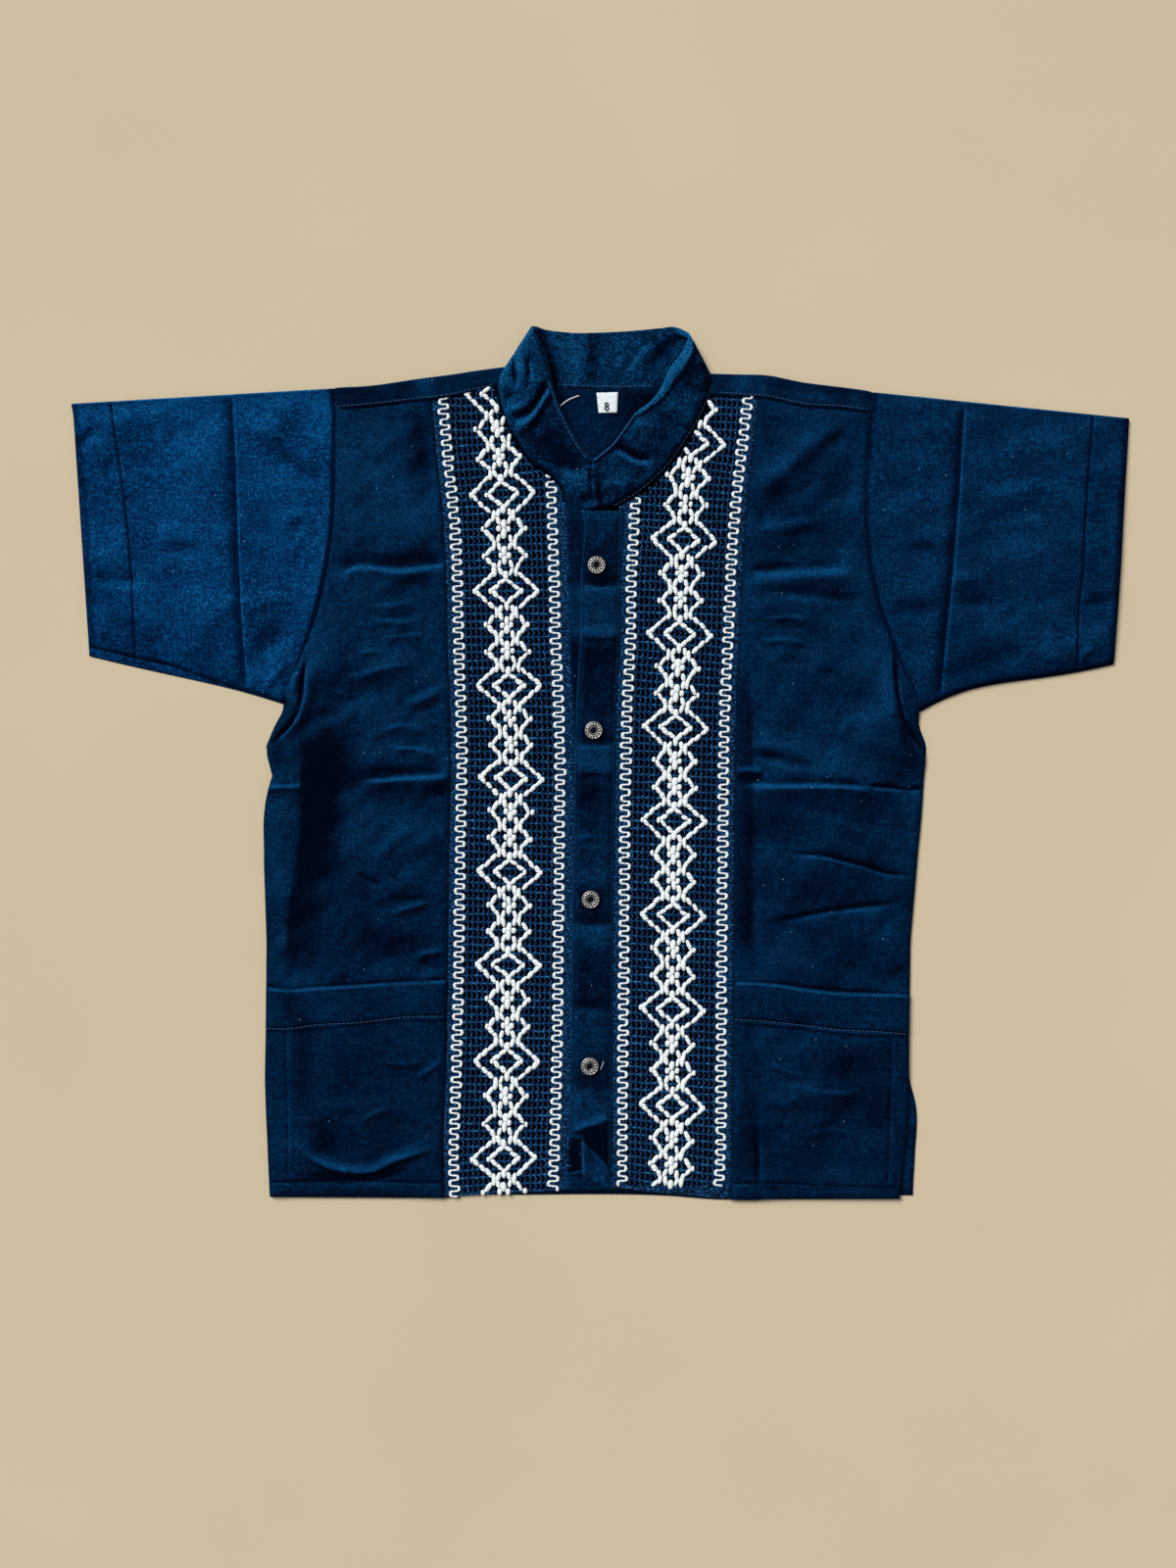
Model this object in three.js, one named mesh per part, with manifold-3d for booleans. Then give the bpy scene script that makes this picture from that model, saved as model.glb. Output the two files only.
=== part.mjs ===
// A child's guayabera shirt, short sleeved, laid on its back on a flat surface.
// Millimetres. +X runs to the wearer's left, +Y to the neck, +Z up, and the back rests on z = 0.
import * as THREE from 'three';
import { mergeVertices } from 'three/addons/utils/BufferGeometryUtils.js';
import Module from 'manifold-3d';

const wasm = await Module();
wasm.setup();

// Driving dimensions
const wall = 1.0;               // one thickness of cotton, with its seam allowance
const seamGap = 0.3;            // between two pieces at a seam, and between two layers
const layer = wall + seamGap;   // what one more piece adds to the pile
const sleeveAir = 0.9;          // least space between the two layers of a pressed sleeve
const bodyPuff = 1.7;           // how far the front lifts off the back away from its edges
const sleevePuff = 1.4;         // the same for a sleeve's upper layer over its lower one
const puffReach = 45;           // distance from an edge over which that lift builds up
const neckLevel = 262;          // the top of the fronts, where that lift has died away
const hemLevel = -289;          // about where the fronts end at the hem
const placketWidth = 26;
const placketFoot = -284;
const clothStep = 17;           // longest edge of a facet along a piece
const collarWall = 1.2;         // two thicknesses pressed together
const facets = { front: 7, band: 5, underPlacket: 2, upperPlacket: 4, pocket: 8, pocketRows: 9 };

// How a shoulder turns over: distances in from its fold, and shares of the height of the turn.
const shoulderFold = {
  tail: 12, crown: 3, seamRun: 6, panelInset: 5, outerInset: 0.4, innerInset: 1.2, innerRise: 0.35,
  lowShare: 0.3, highShare: 0.7,
};
// How a sleeve turns over along its top, and where its lining of air ends along its under edge.
const sleeveFold = {
  bend: 2.2, innerInset: 1.0, innerRise: 0.2, lowShare: 0.28, highShare: 0.72,
  underTop: 1.2, underMiddle: 1.0, underFoot: 0.8, underFloor: 1.8,
};
// Places along a sleeve, from the cuff to the armhole; the first pair is the edge of the hem.
const sleeveStations = [0, 0.03, 0.155, 0.27, 0.39, 0.5, 0.6, 0.67, 0.76, 0.86, 0.94, 1];
const collarTurn = { angles: [50, 90, 130], bulge: 2.2, baseShift: 2.4, topShift: 2.2, lean: 0.3 };
const collarShares = [0, 0.25, 0.5, 0.75, 1];

const pocketSet = { inset: 0.4, lift: 0.1, mouthLevel: -148 };
const buttonSize = {
  radius: 5.8, foot: 4.64, height: 2.2, bevel: 0.5, rim: 1.3, grooveSlope: 0.5, wellSlope: 0.4, well: 2.5,
  wellDepth: 1.1, holeRadius: 0.65, holeReach: 1.15, sides: 20, holeSides: 8, standOff: 0.15,
};
const holeTurns = [45, 135, 225, 315];
const labelSize = { x: 4.5, y: 238, width: 14.4, height: 13.7 };

const navy = { color: 0x123f68, roughness: 0.95, metalness: 0 };
const darkNavy = { color: 0x0d2c4c, roughness: 0.95, metalness: 0 };
const bandBlue = { color: 0x24506f, roughness: 0.95, metalness: 0 };
const pewter = { color: 0xcbc0bd, roughness: 0.4, metalness: 0.9 };
const white = { color: 0xeef2f3, roughness: 0.8, metalness: 0 };

// The four long edges of the two loom-woven bands, from the shoulder to the hem.
const bandLines = [
  { y: 260, rightOuter: -112.0, rightInner: -27.0, leftInner: 20.0, leftOuter: 107.5 },
  { y: 235, rightOuter: -111.2, rightInner: -26.3, leftInner: 18.8, leftOuter: 104.5 },
  { y: 196, rightOuter: -107.6, rightInner: -25.3, leftInner: 17.0, leftOuter: 99.8 },
  { y: 170, rightOuter: -104.6, rightInner: -24.4, leftInner: 15.6, leftOuter: 97.0 },
  { y: 144, rightOuter: -102.7, rightInner: -23.6, leftInner: 14.3, leftOuter: 95.0 },
  { y: 118, rightOuter: -101.6, rightInner: -22.7, leftInner: 13.0, leftOuter: 93.6 },
  { y: 80, rightOuter: -101.0, rightInner: -22.0, leftInner: 12.8, leftOuter: 92.1 },
  { y: 40, rightOuter: -99.5, rightInner: -20.0, leftInner: 10.4, leftOuter: 90.0 },
  { y: 0, rightOuter: -98.6, rightInner: -18.8, leftInner: 9.6, leftOuter: 89.1 },
  { y: -50, rightOuter: -99.7, rightInner: -19.5, leftInner: 8.7, leftOuter: 88.6 },
  { y: -130, rightOuter: -100.8, rightInner: -20.2, leftInner: 8.3, leftOuter: 87.8 },
  { y: -206, rightOuter: -102.3, rightInner: -21.2, leftInner: 7.5, leftOuter: 87.5 },
  { y: -258, rightOuter: -104.4, rightInner: -22.7, leftInner: 7.2, leftOuter: 87.2 },
  { y: -295, rightOuter: -103.3, rightInner: -24.2, leftInner: 7.0, leftOuter: 85.2 },
];

// The free edge of the upper placket; the short step near its foot is a tuck in it.
const placketEdge = [
  { y: 163, x: -12.0 }, { y: 154, x: -10.3 }, { y: 124, x: -12.6 }, { y: 82, x: -13.3 },
  { y: 36, x: -15.8 }, { y: -15, x: -17.2 }, { y: -112, x: -18.5 }, { y: -210, x: -19.8 },
  { y: -248, x: -20.9 }, { y: -250, x: -12.4 }, { y: -271, x: -12.2 }, { y: -273, x: -22.3 },
  { y: -290, x: -23.4 },
];

// The bottom edge of the fronts and of the back, across the shirt.
const frontHem = [
  { x: -225, y: -289 }, { x: -195, y: -287.6 }, { x: -151, y: -287 }, { x: -112, y: -289 },
  { x: -100, y: -289.5 }, { x: -60, y: -286.5 }, { x: -25, y: -284.2 }, { x: 6, y: -283.5 },
  { x: 16, y: -280.5 }, { x: 59, y: -282.5 }, { x: 70, y: -285.5 }, { x: 89, y: -291.4 },
  { x: 122, y: -289.6 }, { x: 210, y: -290 },
];
const backHem = [
  { x: -218.8, y: -287 }, { x: -73, y: -287.4 }, { x: 44, y: -288 }, { x: 83, y: -290.6 },
  { x: 122, y: -288.4 }, { x: 207, y: -287.8 },
];

// The side seams below the armpits. The left front draws in from the back along its side vent.
const sideSeams = [
  { y: 33.5, right: -210.2, left: 211.3 }, { y: 24, right: -215.0, left: 211.0 },
  { y: 9.5, right: -221.2, left: 215.6 }, { y: 0, right: -219.5, left: 215.2 },
  { y: -10, right: -217.0, left: 214.2 }, { y: -18.5, right: -219.4, left: 213.8 },
  { y: -29, right: -221.8, left: 213.2 }, { y: -66, right: -222.6, left: 209.7 },
  { y: -119, right: -221.0, left: 205.3 }, { y: -170, right: -221.3, left: 204.4 },
  { y: -210, right: -222.0, left: 204.6 }, { y: -229, right: -221.6, left: 209.0 },
  { y: -262, right: -220.0, left: 208.2 }, { y: -287, right: -218.8, left: 207.0 },
];

// Armhole seam and sleeve end at the same place round the sleeve, from the shoulder to the armpit.
const sleeveRowsRight = [
  { armX: -178.0, armY: 247.3, cuffX: -350.0, cuffY: 237.2 },
  { armX: -175.4, armY: 233.0, cuffX: -347.6, cuffY: 223.0 },
  { armX: -175.2, armY: 216.0, cuffX: -346.0, cuffY: 209.0 },
  { armX: -175.5, armY: 180.0, cuffX: -343.2, cuffY: 178.0 },
  { armX: -177.3, armY: 152.4, cuffX: -341.9, cuffY: 150.0 },
  { armX: -183.0, armY: 118.6, cuffX: -340.4, cuffY: 122.0 },
  { armX: -190.1, armY: 92.0, cuffX: -338.8, cuffY: 104.0 },
  { armX: -197.9, armY: 71.2, cuffX: -338.4, cuffY: 92.0 },
  { armX: -204.4, armY: 58.8, cuffX: -338.1, cuffY: 84.0 },
  { armX: -210.2, armY: 46.5, cuffX: -338.0, cuffY: 77.5 },
];
const sleeveRowsLeft = [
  { armX: 182.0, armY: 244.7, cuffX: 350.0, cuffY: 227.6 },
  { armX: 179.1, armY: 230.4, cuffX: 348.9, cuffY: 212.0 },
  { armX: 177.1, armY: 201.8, cuffX: 347.2, cuffY: 186.0 },
  { armX: 175.2, armY: 166.7, cuffX: 345.4, cuffY: 154.0 },
  { armX: 176.5, armY: 145.6, cuffX: 344.3, cuffY: 134.0 },
  { armX: 179.1, armY: 124.5, cuffX: 343.2, cuffY: 117.0 },
  { armX: 184.3, armY: 103.4, cuffX: 342.2, cuffY: 102.0 },
  { armX: 192.7, armY: 80.9, cuffX: 341.2, cuffY: 88.0 },
  { armX: 199.2, armY: 64.7, cuffX: 340.6, cuffY: 78.0 },
  { armX: 208.3, armY: 47.8, cuffX: 340.1, cuffY: 69.0 },
  { armX: 211.8, armY: 38.0, cuffX: 339.9, cuffY: 65.3 },
];
// The under layer of each sleeve shows a little below the upper one.
const underLayerRight = { armX: -211.4, armY: 38.8, cuffX: -338.7, cuffY: 70.2 };
const underLayerLeft = { armX: 212.6, armY: 35.2, cuffX: 339.9, cuffY: 63.6 };

// Each row of a side front runs from its outer edge to the band beside it.
const frontRowsRight = [
  { outerX: -176.1, outerY: 237.0, innerY: 244.0 }, { outerX: -175.4, outerY: 233.0, innerY: 240.0 },
  { outerX: -175.2, outerY: 216.0, innerY: 220.0 }, { outerX: -175.5, outerY: 180.0, innerY: 181.0 },
  { outerX: -177.3, outerY: 152.4, innerY: 152.0 }, { outerX: -183.0, outerY: 118.6, innerY: 117.0 },
  { outerX: -190.1, outerY: 92.0, innerY: 90.0 }, { outerX: -197.9, outerY: 71.2, innerY: 68.0 },
  { outerX: -204.4, outerY: 58.8, innerY: 54.0 }, { outerX: -210.2, outerY: 46.5, innerY: 42.0 },
  { outerX: -207.6, outerY: 39.5, innerY: 34.0 }, { outerX: -203.2, outerY: 33.5, innerY: 28.0 },
  { outerX: -210.5, outerY: 23.5, innerY: 19.0 }, { outerX: -218.7, outerY: 13.5, innerY: 11.0 },
  { outerX: -220.6, outerY: 6.0, innerY: 4.0 }, { outerX: -218.6, outerY: -4.0, innerY: -3.0 },
  { outerX: -217.0, outerY: -10.0, innerY: -7.0 }, { outerX: -218.2, outerY: -14.0, innerY: -10.5 },
  { outerX: -219.4, outerY: -18.5, innerY: -14.0 }, { outerX: -221.8, outerY: -29.0, innerY: -25.0 },
  { outerX: -222.6, outerY: -66.0, innerY: -66.0 }, { outerX: -221.0, outerY: -119.0, innerY: -119.0 },
  { outerX: -221.3, outerY: -170.0, innerY: -170.0 }, { outerX: -222.0, outerY: -210.0, innerY: -210.0 },
  { outerX: -220.0, outerY: -262.0, innerY: -262.0 }, { outerX: -218.8, outerY: -289.0, innerY: -289.4 },
];
const frontRowsLeft = [
  { outerX: 179.9, outerY: 234.4, innerY: 244.8 }, { outerX: 179.1, outerY: 230.4, innerY: 240.8 },
  { outerX: 177.1, outerY: 201.8, innerY: 206.0 }, { outerX: 175.2, outerY: 166.7, innerY: 168.0 },
  { outerX: 176.5, outerY: 145.6, innerY: 146.0 }, { outerX: 179.1, outerY: 124.5, innerY: 124.0 },
  { outerX: 184.3, outerY: 103.4, innerY: 102.0 }, { outerX: 192.7, outerY: 80.9, innerY: 78.0 },
  { outerX: 199.2, outerY: 64.7, innerY: 61.0 }, { outerX: 208.3, outerY: 47.8, innerY: 45.0 },
  { outerX: 211.8, outerY: 38.0, innerY: 34.0 }, { outerX: 210.6, outerY: 30.0, innerY: 26.0 },
  { outerX: 209.8, outerY: 20.0, innerY: 17.0 }, { outerX: 213.4, outerY: 9.5, innerY: 8.0 },
  { outerX: 215.0, outerY: 2.0, innerY: 0.0 }, { outerX: 214.4, outerY: -8.0, innerY: -7.0 },
  { outerX: 213.9, outerY: -14.5, innerY: -12.5 }, { outerX: 213.8, outerY: -18.7, innerY: -16.5 },
  { outerX: 213.5, outerY: -23.0, innerY: -21.0 }, { outerX: 212.2, outerY: -40.0, innerY: -38.0 },
  { outerX: 209.7, outerY: -66.0, innerY: -66.0 }, { outerX: 205.3, outerY: -119.0, innerY: -119.0 },
  { outerX: 204.4, outerY: -170.0, innerY: -170.0 }, { outerX: 204.2, outerY: -210.0, innerY: -210.0 },
  { outerX: 203.0, outerY: -242.0, innerY: -242.0 }, { outerX: 200.5, outerY: -268.0, innerY: -268.0 },
  { outerX: 198.0, outerY: -289.9, innerY: -291.3 },
];

// Above the placket the inner edge of each band follows the seam of the collar.
const bandTopRight = [
  { outerY: 243.6, innerX: -72.6, innerY: 251.6 }, { outerY: 236.0, innerX: -70.4, innerY: 246.0 },
  { outerY: 228.0, innerX: -66.9, innerY: 235.6 }, { outerY: 217.0, innerX: -62.3, innerY: 221.6 },
  { outerY: 206.0, innerX: -55.8, innerY: 209.6 }, { outerY: 195.0, innerX: -45.2, innerY: 195.6 },
  { outerY: 186.0, innerX: -33.6, innerY: 187.6 }, { outerY: 177.0, innerX: -25.0, innerY: 178.2 },
];
const bandTopLeft = [
  { outerY: 244.8, innerX: 77.0, innerY: 247.0 }, { outerY: 239.0, innerX: 74.2, innerY: 241.6 },
  { outerY: 225.0, innerX: 66.6, innerY: 225.2 }, { outerY: 211.0, innerX: 56.4, innerY: 208.5 },
  { outerY: 199.0, innerX: 47.6, innerY: 195.8 }, { outerY: 188.0, innerX: 37.2, innerY: 185.1 },
  { outerY: 178.0, innerX: 24.4, innerY: 174.8 }, { outerY: 171.0, innerX: 15.9, innerY: 169.6 },
];
// The top of the under placket narrows up along the seam of the collar.
const underPlacketTop = [
  { startX: -24.0, startY: 176.2, endX: -23.4, endY: 175.7 },
  { startX: -24.0, startY: 170.0, endX: -18.7, endY: 169.8 },
  { startX: -23.9, startY: 164.0, endX: -11.0, endY: 163.6 },
  { startX: -23.9, startY: 162.2, endX: 2.2, endY: 162.2 },
];
const upperPlacketRows = [162.4, 154, 140, 124, 103, 82, 60, 36, 16, 0, -15, -40, -64, -88, -112, -136,
  -160, -185, -210, -230, -240, -248, -250, -260, -271, -273, -283.6];
const bandRowsBelow = [150, 132, 114, 96, 78, 60, 42, 24, 8, -4, -10, -16, -24, -42, -66, -92,
  -118, -144, -170, -196, -222, -246, -266];

// Mouth of each patch pocket, from the side seam to the band.
const pocketMouthRight = [
  { x: -225, y: -149.0 }, { x: -212, y: -151.0 }, { x: -187, y: -149.2 }, { x: -145, y: -146.8 },
  { x: -95, y: -144.4 },
];
const pocketMouthLeft = [
  { x: 80, y: -145.6 }, { x: 109, y: -146.4 }, { x: 128, y: -148.8 }, { x: 148, y: -151.8 },
  { x: 171, y: -153.2 }, { x: 210, y: -154.4 },
];

// Each shoulder of the back turns over to the front as far as the shoulder seam.
const shoulderRight = [
  { x: -177.8, fold: 247.2, seam: 232.8 }, { x: -151, fold: 248.6, seam: 235.0 },
  { x: -125, fold: 252.4, seam: 238.0 }, { x: -99, fold: 255.8, seam: 241.3 },
  { x: -82, fold: 258.4, seam: 245.2 }, { x: -71.8, fold: 261.0, seam: 248.0 },
];
const shoulderLeft = [
  { x: 78.4, fold: 256.6, seam: 242.4 }, { x: 94, fold: 256.0, seam: 241.4 },
  { x: 109, fold: 255.6, seam: 240.2 }, { x: 135, fold: 250.6, seam: 234.8 },
  { x: 161, fold: 247.2, seam: 232.9 }, { x: 181.6, fold: 244.6, seam: 230.2 },
];

// The collar's seam edge and top edge, from its lower right end round the neck to its upper left end,
// and the neck edge of the back where it meets the collar.
const collarFrontRight = [
  { baseX: 3.0, baseY: 169.0, topX: 3.0, topY: 194.0, lift: 2.6, stand: 1.0 },
  { baseX: -10.4, baseY: 164.0, topX: -9.5, topY: 205.0, lift: 2.9, stand: 1.4 },
  { baseX: -18.1, baseY: 170.4, topX: -16.6, topY: 215.2, lift: 3.3, stand: 1.8 },
  { baseX: -32.0, baseY: 188.2, topX: -25.7, topY: 233.0, lift: 3.8, stand: 2.4 },
  { baseX: -43.9, baseY: 196.4, topX: -30.0, topY: 245.0, lift: 4.0, stand: 3.2 },
  { baseX: -54.3, baseY: 210.4, topX: -32.2, topY: 255.0, lift: 4.0, stand: 4.0 },
  { baseX: -60.8, baseY: 222.0, topX: -34.8, topY: 265.5, lift: 4.0, stand: 4.4 },
  { baseX: -65.4, baseY: 236.0, topX: -38.7, topY: 274.5, lift: 4.2, stand: 4.2 },
  { baseX: -67.6, baseY: 248.0, topX: -42.6, topY: 282.6, lift: 4.4, stand: 3.2 },
];
const collarBack = [
  { baseX: -62.0, baseY: 257.6, topX: -43.6, topY: 288.8, seam: 253.6 },
  { baseX: -48.0, baseY: 251.6, topX: -36.0, topY: 286.4, seam: 250.8 },
  { baseX: -31.0, baseY: 248.6, topX: -21.0, topY: 284.5, seam: 248.1 },
  { baseX: -3.0, baseY: 246.8, topX: -3.0, topY: 284.4, seam: 246.3 },
  { baseX: 20.0, baseY: 246.7, topX: 22.0, topY: 285.7, seam: 246.2 },
  { baseX: 37.0, baseY: 247.2, topX: 40.0, topY: 287.4, seam: 246.7 },
  { baseX: 55.0, baseY: 250.6, topX: 49.0, topY: 288.2, seam: 249.8 },
  { baseX: 69.0, baseY: 255.8, topX: 55.6, topY: 286.0, seam: 251.6 },
];
const collarFrontLeft = [
  { baseX: 74.6, baseY: 248.0, topX: 57.0, topY: 276.0, lift: 4.4, stand: 4.6 },
  { baseX: 72.4, baseY: 241.4, topX: 52.6, topY: 267.6, lift: 4.4, stand: 5.4 },
  { baseX: 65.3, baseY: 225.6, topX: 46.1, topY: 259.0, lift: 4.4, stand: 6.0 },
  { baseX: 54.9, baseY: 209.0, topX: 38.5, topY: 243.4, lift: 4.4, stand: 6.0 },
  { baseX: 46.1, baseY: 196.4, topX: 32.0, topY: 235.6, lift: 4.4, stand: 5.4 },
  { baseX: 35.9, baseY: 185.9, topX: 24.4, topY: 230.4, lift: 4.6, stand: 4.4 },
  { baseX: 23.1, baseY: 175.6, topX: 16.6, topY: 220.3, lift: 5.0, stand: 3.4 },
  { baseX: 10.1, baseY: 168.2, topX: 8.8, topY: 210.0, lift: 5.0, stand: 2.6 },
  { baseX: -3.4, baseY: 165.0, topX: -4.4, topY: 199.0, lift: 5.2, stand: 2.0 },
];

// Folds and hollows of the front: where each line runs, how far the cloth rises (or sinks) on it
// and how far either side of it the cloth takes to settle.
const bodyFolds = [
  { fromX: -150, fromY: -12, toX: -99, toY: -9, rise: 2.0, reach: 6 },
  { fromX: -216, fromY: -17, toX: -196, toY: -16, rise: 1.2, reach: 6 },
  { fromX: 93, fromY: -16.5, toX: 176, toY: -17, rise: 1.8, reach: 6 },
  { fromX: 182, fromY: -15, toX: 212, toY: -17, rise: -1.0, reach: 5 },
  { fromX: -180, fromY: 30, toX: -178, toY: -80, rise: -1.5, reach: 24 },
  { fromX: -205, fromY: 5, toX: -207, toY: -90, rise: 1.0, reach: 13 },
  { fromX: -192, fromY: 68, toX: -198, toY: 38, rise: 2.4, reach: 9 },
  { fromX: -198, fromY: 38, toX: -214, toY: 14, rise: 2.2, reach: 8 },
  { fromX: 189, fromY: 66, toX: 197, toY: 30, rise: 2.0, reach: 9 },
  { fromX: 197, fromY: 30, toX: 211, toY: 5, rise: 2.0, reach: 8 },
  { fromX: 163, fromY: -56, toX: 196, toY: -74, rise: 1.0, reach: 7 },
  { fromX: 96, fromY: 150, toX: 94, toY: 10, rise: -1.0, reach: 8 },
];
const pocketFolds = [
  { fromX: -201, fromY: -256, toX: -173, toY: -270, rise: 1.2, reach: 10 },
  { fromX: -173, fromY: -270, toX: -106, toY: -262, rise: 1.0, reach: 10 },
];
// The tuck near the foot of the upper placket.
const tuckFolds = [
  { fromX: -19, fromY: -243, toX: 6, toY: -240, rise: 1.5, reach: 8 },
  { fromX: -10, fromY: -254, toX: 2, toY: -266, rise: -0.4, reach: 4 },
];
const sleeveFolds = [
  { fromX: -243, fromY: 240, toX: -235, toY: 56, rise: 0.8, reach: 9 },
  { fromX: -200, fromY: 110, toX: -300, toY: 95, rise: 1.0, reach: 16 },
  { fromX: -216, fromY: 62, toX: -262, toY: 92, rise: 1.0, reach: 12 },
  { fromX: 241, fromY: 232, toX: 227, toY: 50, rise: 0.8, reach: 9 },
  { fromX: 200, fromY: 120, toX: 300, toY: 140, rise: 0.8, reach: 16 },
  { fromX: 214, fromY: 60, toX: 262, toY: 84, rise: 1.0, reach: 12 },
];
const buttonRows = [
  { name: 'button_1', x: -2.5, y: 129.7 }, { name: 'button_2', x: -4.4, y: 20.8 },
  { name: 'button_3', x: -6.4, y: -90.7 }, { name: 'button_4', x: -7.0, y: -200.5 },
];

// Value of one column of a table at a place between its rows.
function readAt(table, along, column, place) {
  const rising = table[table.length - 1][along] > table[0][along];
  const rows = rising ? table : [...table].reverse();
  const clamped = THREE.MathUtils.clamp(place, rows[0][along], rows[rows.length - 1][along]);
  let i = 1;
  while (i < rows.length - 1 && rows[i][along] < clamped) i += 1;
  const share = (clamped - rows[i - 1][along]) / (rows[i][along] - rows[i - 1][along]);
  return THREE.MathUtils.lerp(rows[i - 1][column], rows[i][column], share);
}

// Rows with more put between them, none further apart than the step.
function fillRows(rows, column, step) {
  const filled = [rows[0]];
  for (let i = 1; i < rows.length; i += 1) {
    const count = Math.ceil(Math.abs(rows[i][column] - rows[i - 1][column]) / step) || 1;
    for (let k = 1; k <= count; k += 1) {
      const row = {};
      for (const key of Object.keys(rows[i])) {
        row[key] = THREE.MathUtils.lerp(rows[i - 1][key], rows[i][key], k / count);
      }
      filled.push(row);
    }
  }
  return filled;
}

function foldHeight(folds, x, y) {
  let height = 0;
  for (const fold of folds) {
    const runX = fold.toX - fold.fromX;
    const runY = fold.toY - fold.fromY;
    const along = ((x - fold.fromX) * runX + (y - fold.fromY) * runY) / (runX * runX + runY * runY);
    const share = THREE.MathUtils.clamp(along, 0, 1);
    const off = Math.hypot(x - fold.fromX - share * runX, y - fold.fromY - share * runY);
    height += fold.rise * Math.exp(-((off / fold.reach) ** 2));
  }
  return height;
}

// Height of the under face of the front above the surface.
function frontLie(x, y) {
  const side = x < 0 ? x - readAt(sideSeams, 'y', 'right', y) : readAt(sideSeams, 'y', 'left', y) - x;
  const edge = Math.min(side, y - readAt(frontHem, 'x', 'y', x), neckLevel - y);
  const puff = bodyPuff * THREE.MathUtils.smoothstep(edge, 0, puffReach);
  return layer + Math.max(0, puff + foldHeight(bodyFolds, x, y));
}

// Height of the under face of a sleeve's upper layer, from how far across it the point lies.
function sleeveLie(x, y, across) {
  const puff = sleevePuff * Math.sin(Math.PI * across);
  return wall + sleeveAir + Math.max(0, puff + Math.sin(Math.PI * across) * foldHeight(sleeveFolds, x, y));
}

// A closed body from its triangles, turned so that its faces point out.
function solidFrom(positions, triangles) {
  const geometry = new THREE.BufferGeometry();
  geometry.setAttribute('position', new THREE.Float32BufferAttribute(positions, 3));
  let volume = 0;
  const a = new THREE.Vector3();
  const b = new THREE.Vector3();
  const c = new THREE.Vector3();
  for (let i = 0; i < triangles.length; i += 3) {
    a.fromArray(positions, 3 * triangles[i]);
    b.fromArray(positions, 3 * triangles[i + 1]);
    c.fromArray(positions, 3 * triangles[i + 2]);
    volume += a.dot(b.cross(c));
  }
  if (volume < 0) triangles.reverse();
  geometry.setIndex(triangles);
  return geometry;
}

// A sheet of cloth: the same grid of points on its under face and its upper face, closed at the rim.
function sheetBetween(under, upper) {
  const rows = under.length;
  const columns = under[0].length;
  const positions = [];
  for (const row of [...under, ...upper]) {
    for (const point of row) positions.push(point.x, point.y, point.z);
  }
  const at = (side, i, j) => (side * rows + i) * columns + j;
  const triangles = [];
  const quad = (a, b, c, d) => triangles.push(a, b, c, a, c, d);
  for (let i = 1; i < rows; i += 1) {
    for (let j = 1; j < columns; j += 1) {
      quad(at(0, i, j), at(0, i - 1, j), at(0, i - 1, j - 1), at(0, i, j - 1));
      quad(at(1, i, j - 1), at(1, i - 1, j - 1), at(1, i - 1, j), at(1, i, j));
    }
    quad(at(0, i, 0), at(0, i - 1, 0), at(1, i - 1, 0), at(1, i, 0));
    const last = columns - 1;
    quad(at(1, i, last), at(1, i - 1, last), at(0, i - 1, last), at(0, i, last));
  }
  for (let j = 1; j < columns; j += 1) {
    quad(at(1, 0, j), at(1, 0, j - 1), at(0, 0, j - 1), at(0, 0, j));
    quad(at(0, rows - 1, j), at(0, rows - 1, j - 1), at(1, rows - 1, j - 1), at(1, rows - 1, j));
  }
  return solidFrom(positions, triangles);
}

// A tube of cloth, open at both ends: rings of points on its outer face and on its inner face.
function tubeBetween(outer, inner) {
  const rings = outer.length;
  const size = outer[0].length;
  const positions = [];
  for (const ring of [...outer, ...inner]) {
    for (const point of ring) positions.push(point.x, point.y, point.z);
  }
  const at = (side, i, j) => (side * rings + i) * size + (j % size);
  const triangles = [];
  const quad = (a, b, c, d) => triangles.push(a, b, c, a, c, d);
  for (let j = 0; j < size; j += 1) {
    for (let i = 1; i < rings; i += 1) {
      quad(at(0, i - 1, j), at(0, i, j), at(0, i, j + 1), at(0, i - 1, j + 1));
      quad(at(1, i - 1, j + 1), at(1, i, j + 1), at(1, i, j), at(1, i - 1, j));
    }
    quad(at(0, 0, j), at(0, 0, j + 1), at(1, 0, j + 1), at(1, 0, j));
    quad(at(1, rings - 1, j), at(1, rings - 1, j + 1), at(0, rings - 1, j + 1), at(0, rings - 1, j));
  }
  return solidFrom(positions, triangles);
}

// A flat-lying piece between two edges. Each row gives both ends, and lie the height of the under face.
function flatPiece(rows, columns, lie) {
  const under = [];
  const upper = [];
  for (const row of rows) {
    const line = [];
    for (let j = 0; j <= columns; j += 1) {
      const x = THREE.MathUtils.lerp(row.startX, row.endX, j / columns);
      const y = THREE.MathUtils.lerp(row.startY, row.endY, j / columns);
      line.push(new THREE.Vector3(x, y, lie(x, y)));
    }
    under.push(line);
    upper.push(line.map((p) => new THREE.Vector3(p.x, p.y, p.z + wall)));
  }
  return sheetBetween(under, upper);
}

function toManifold(geometry) {
  const bare = geometry.clone();
  bare.deleteAttribute('normal');
  bare.deleteAttribute('uv');
  const merged = mergeVertices(bare, 1e-4);
  return new wasm.Manifold(new wasm.Mesh({
    numProp: 3,
    vertProperties: Float32Array.from(merged.attributes.position.array),
    triVerts: Uint32Array.from(merged.index.array),
  }));
}

function fromManifold(solid) {
  const mesh = solid.getMesh();
  return solidFrom(Array.from(mesh.vertProperties), Array.from(mesh.triVerts));
}

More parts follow.
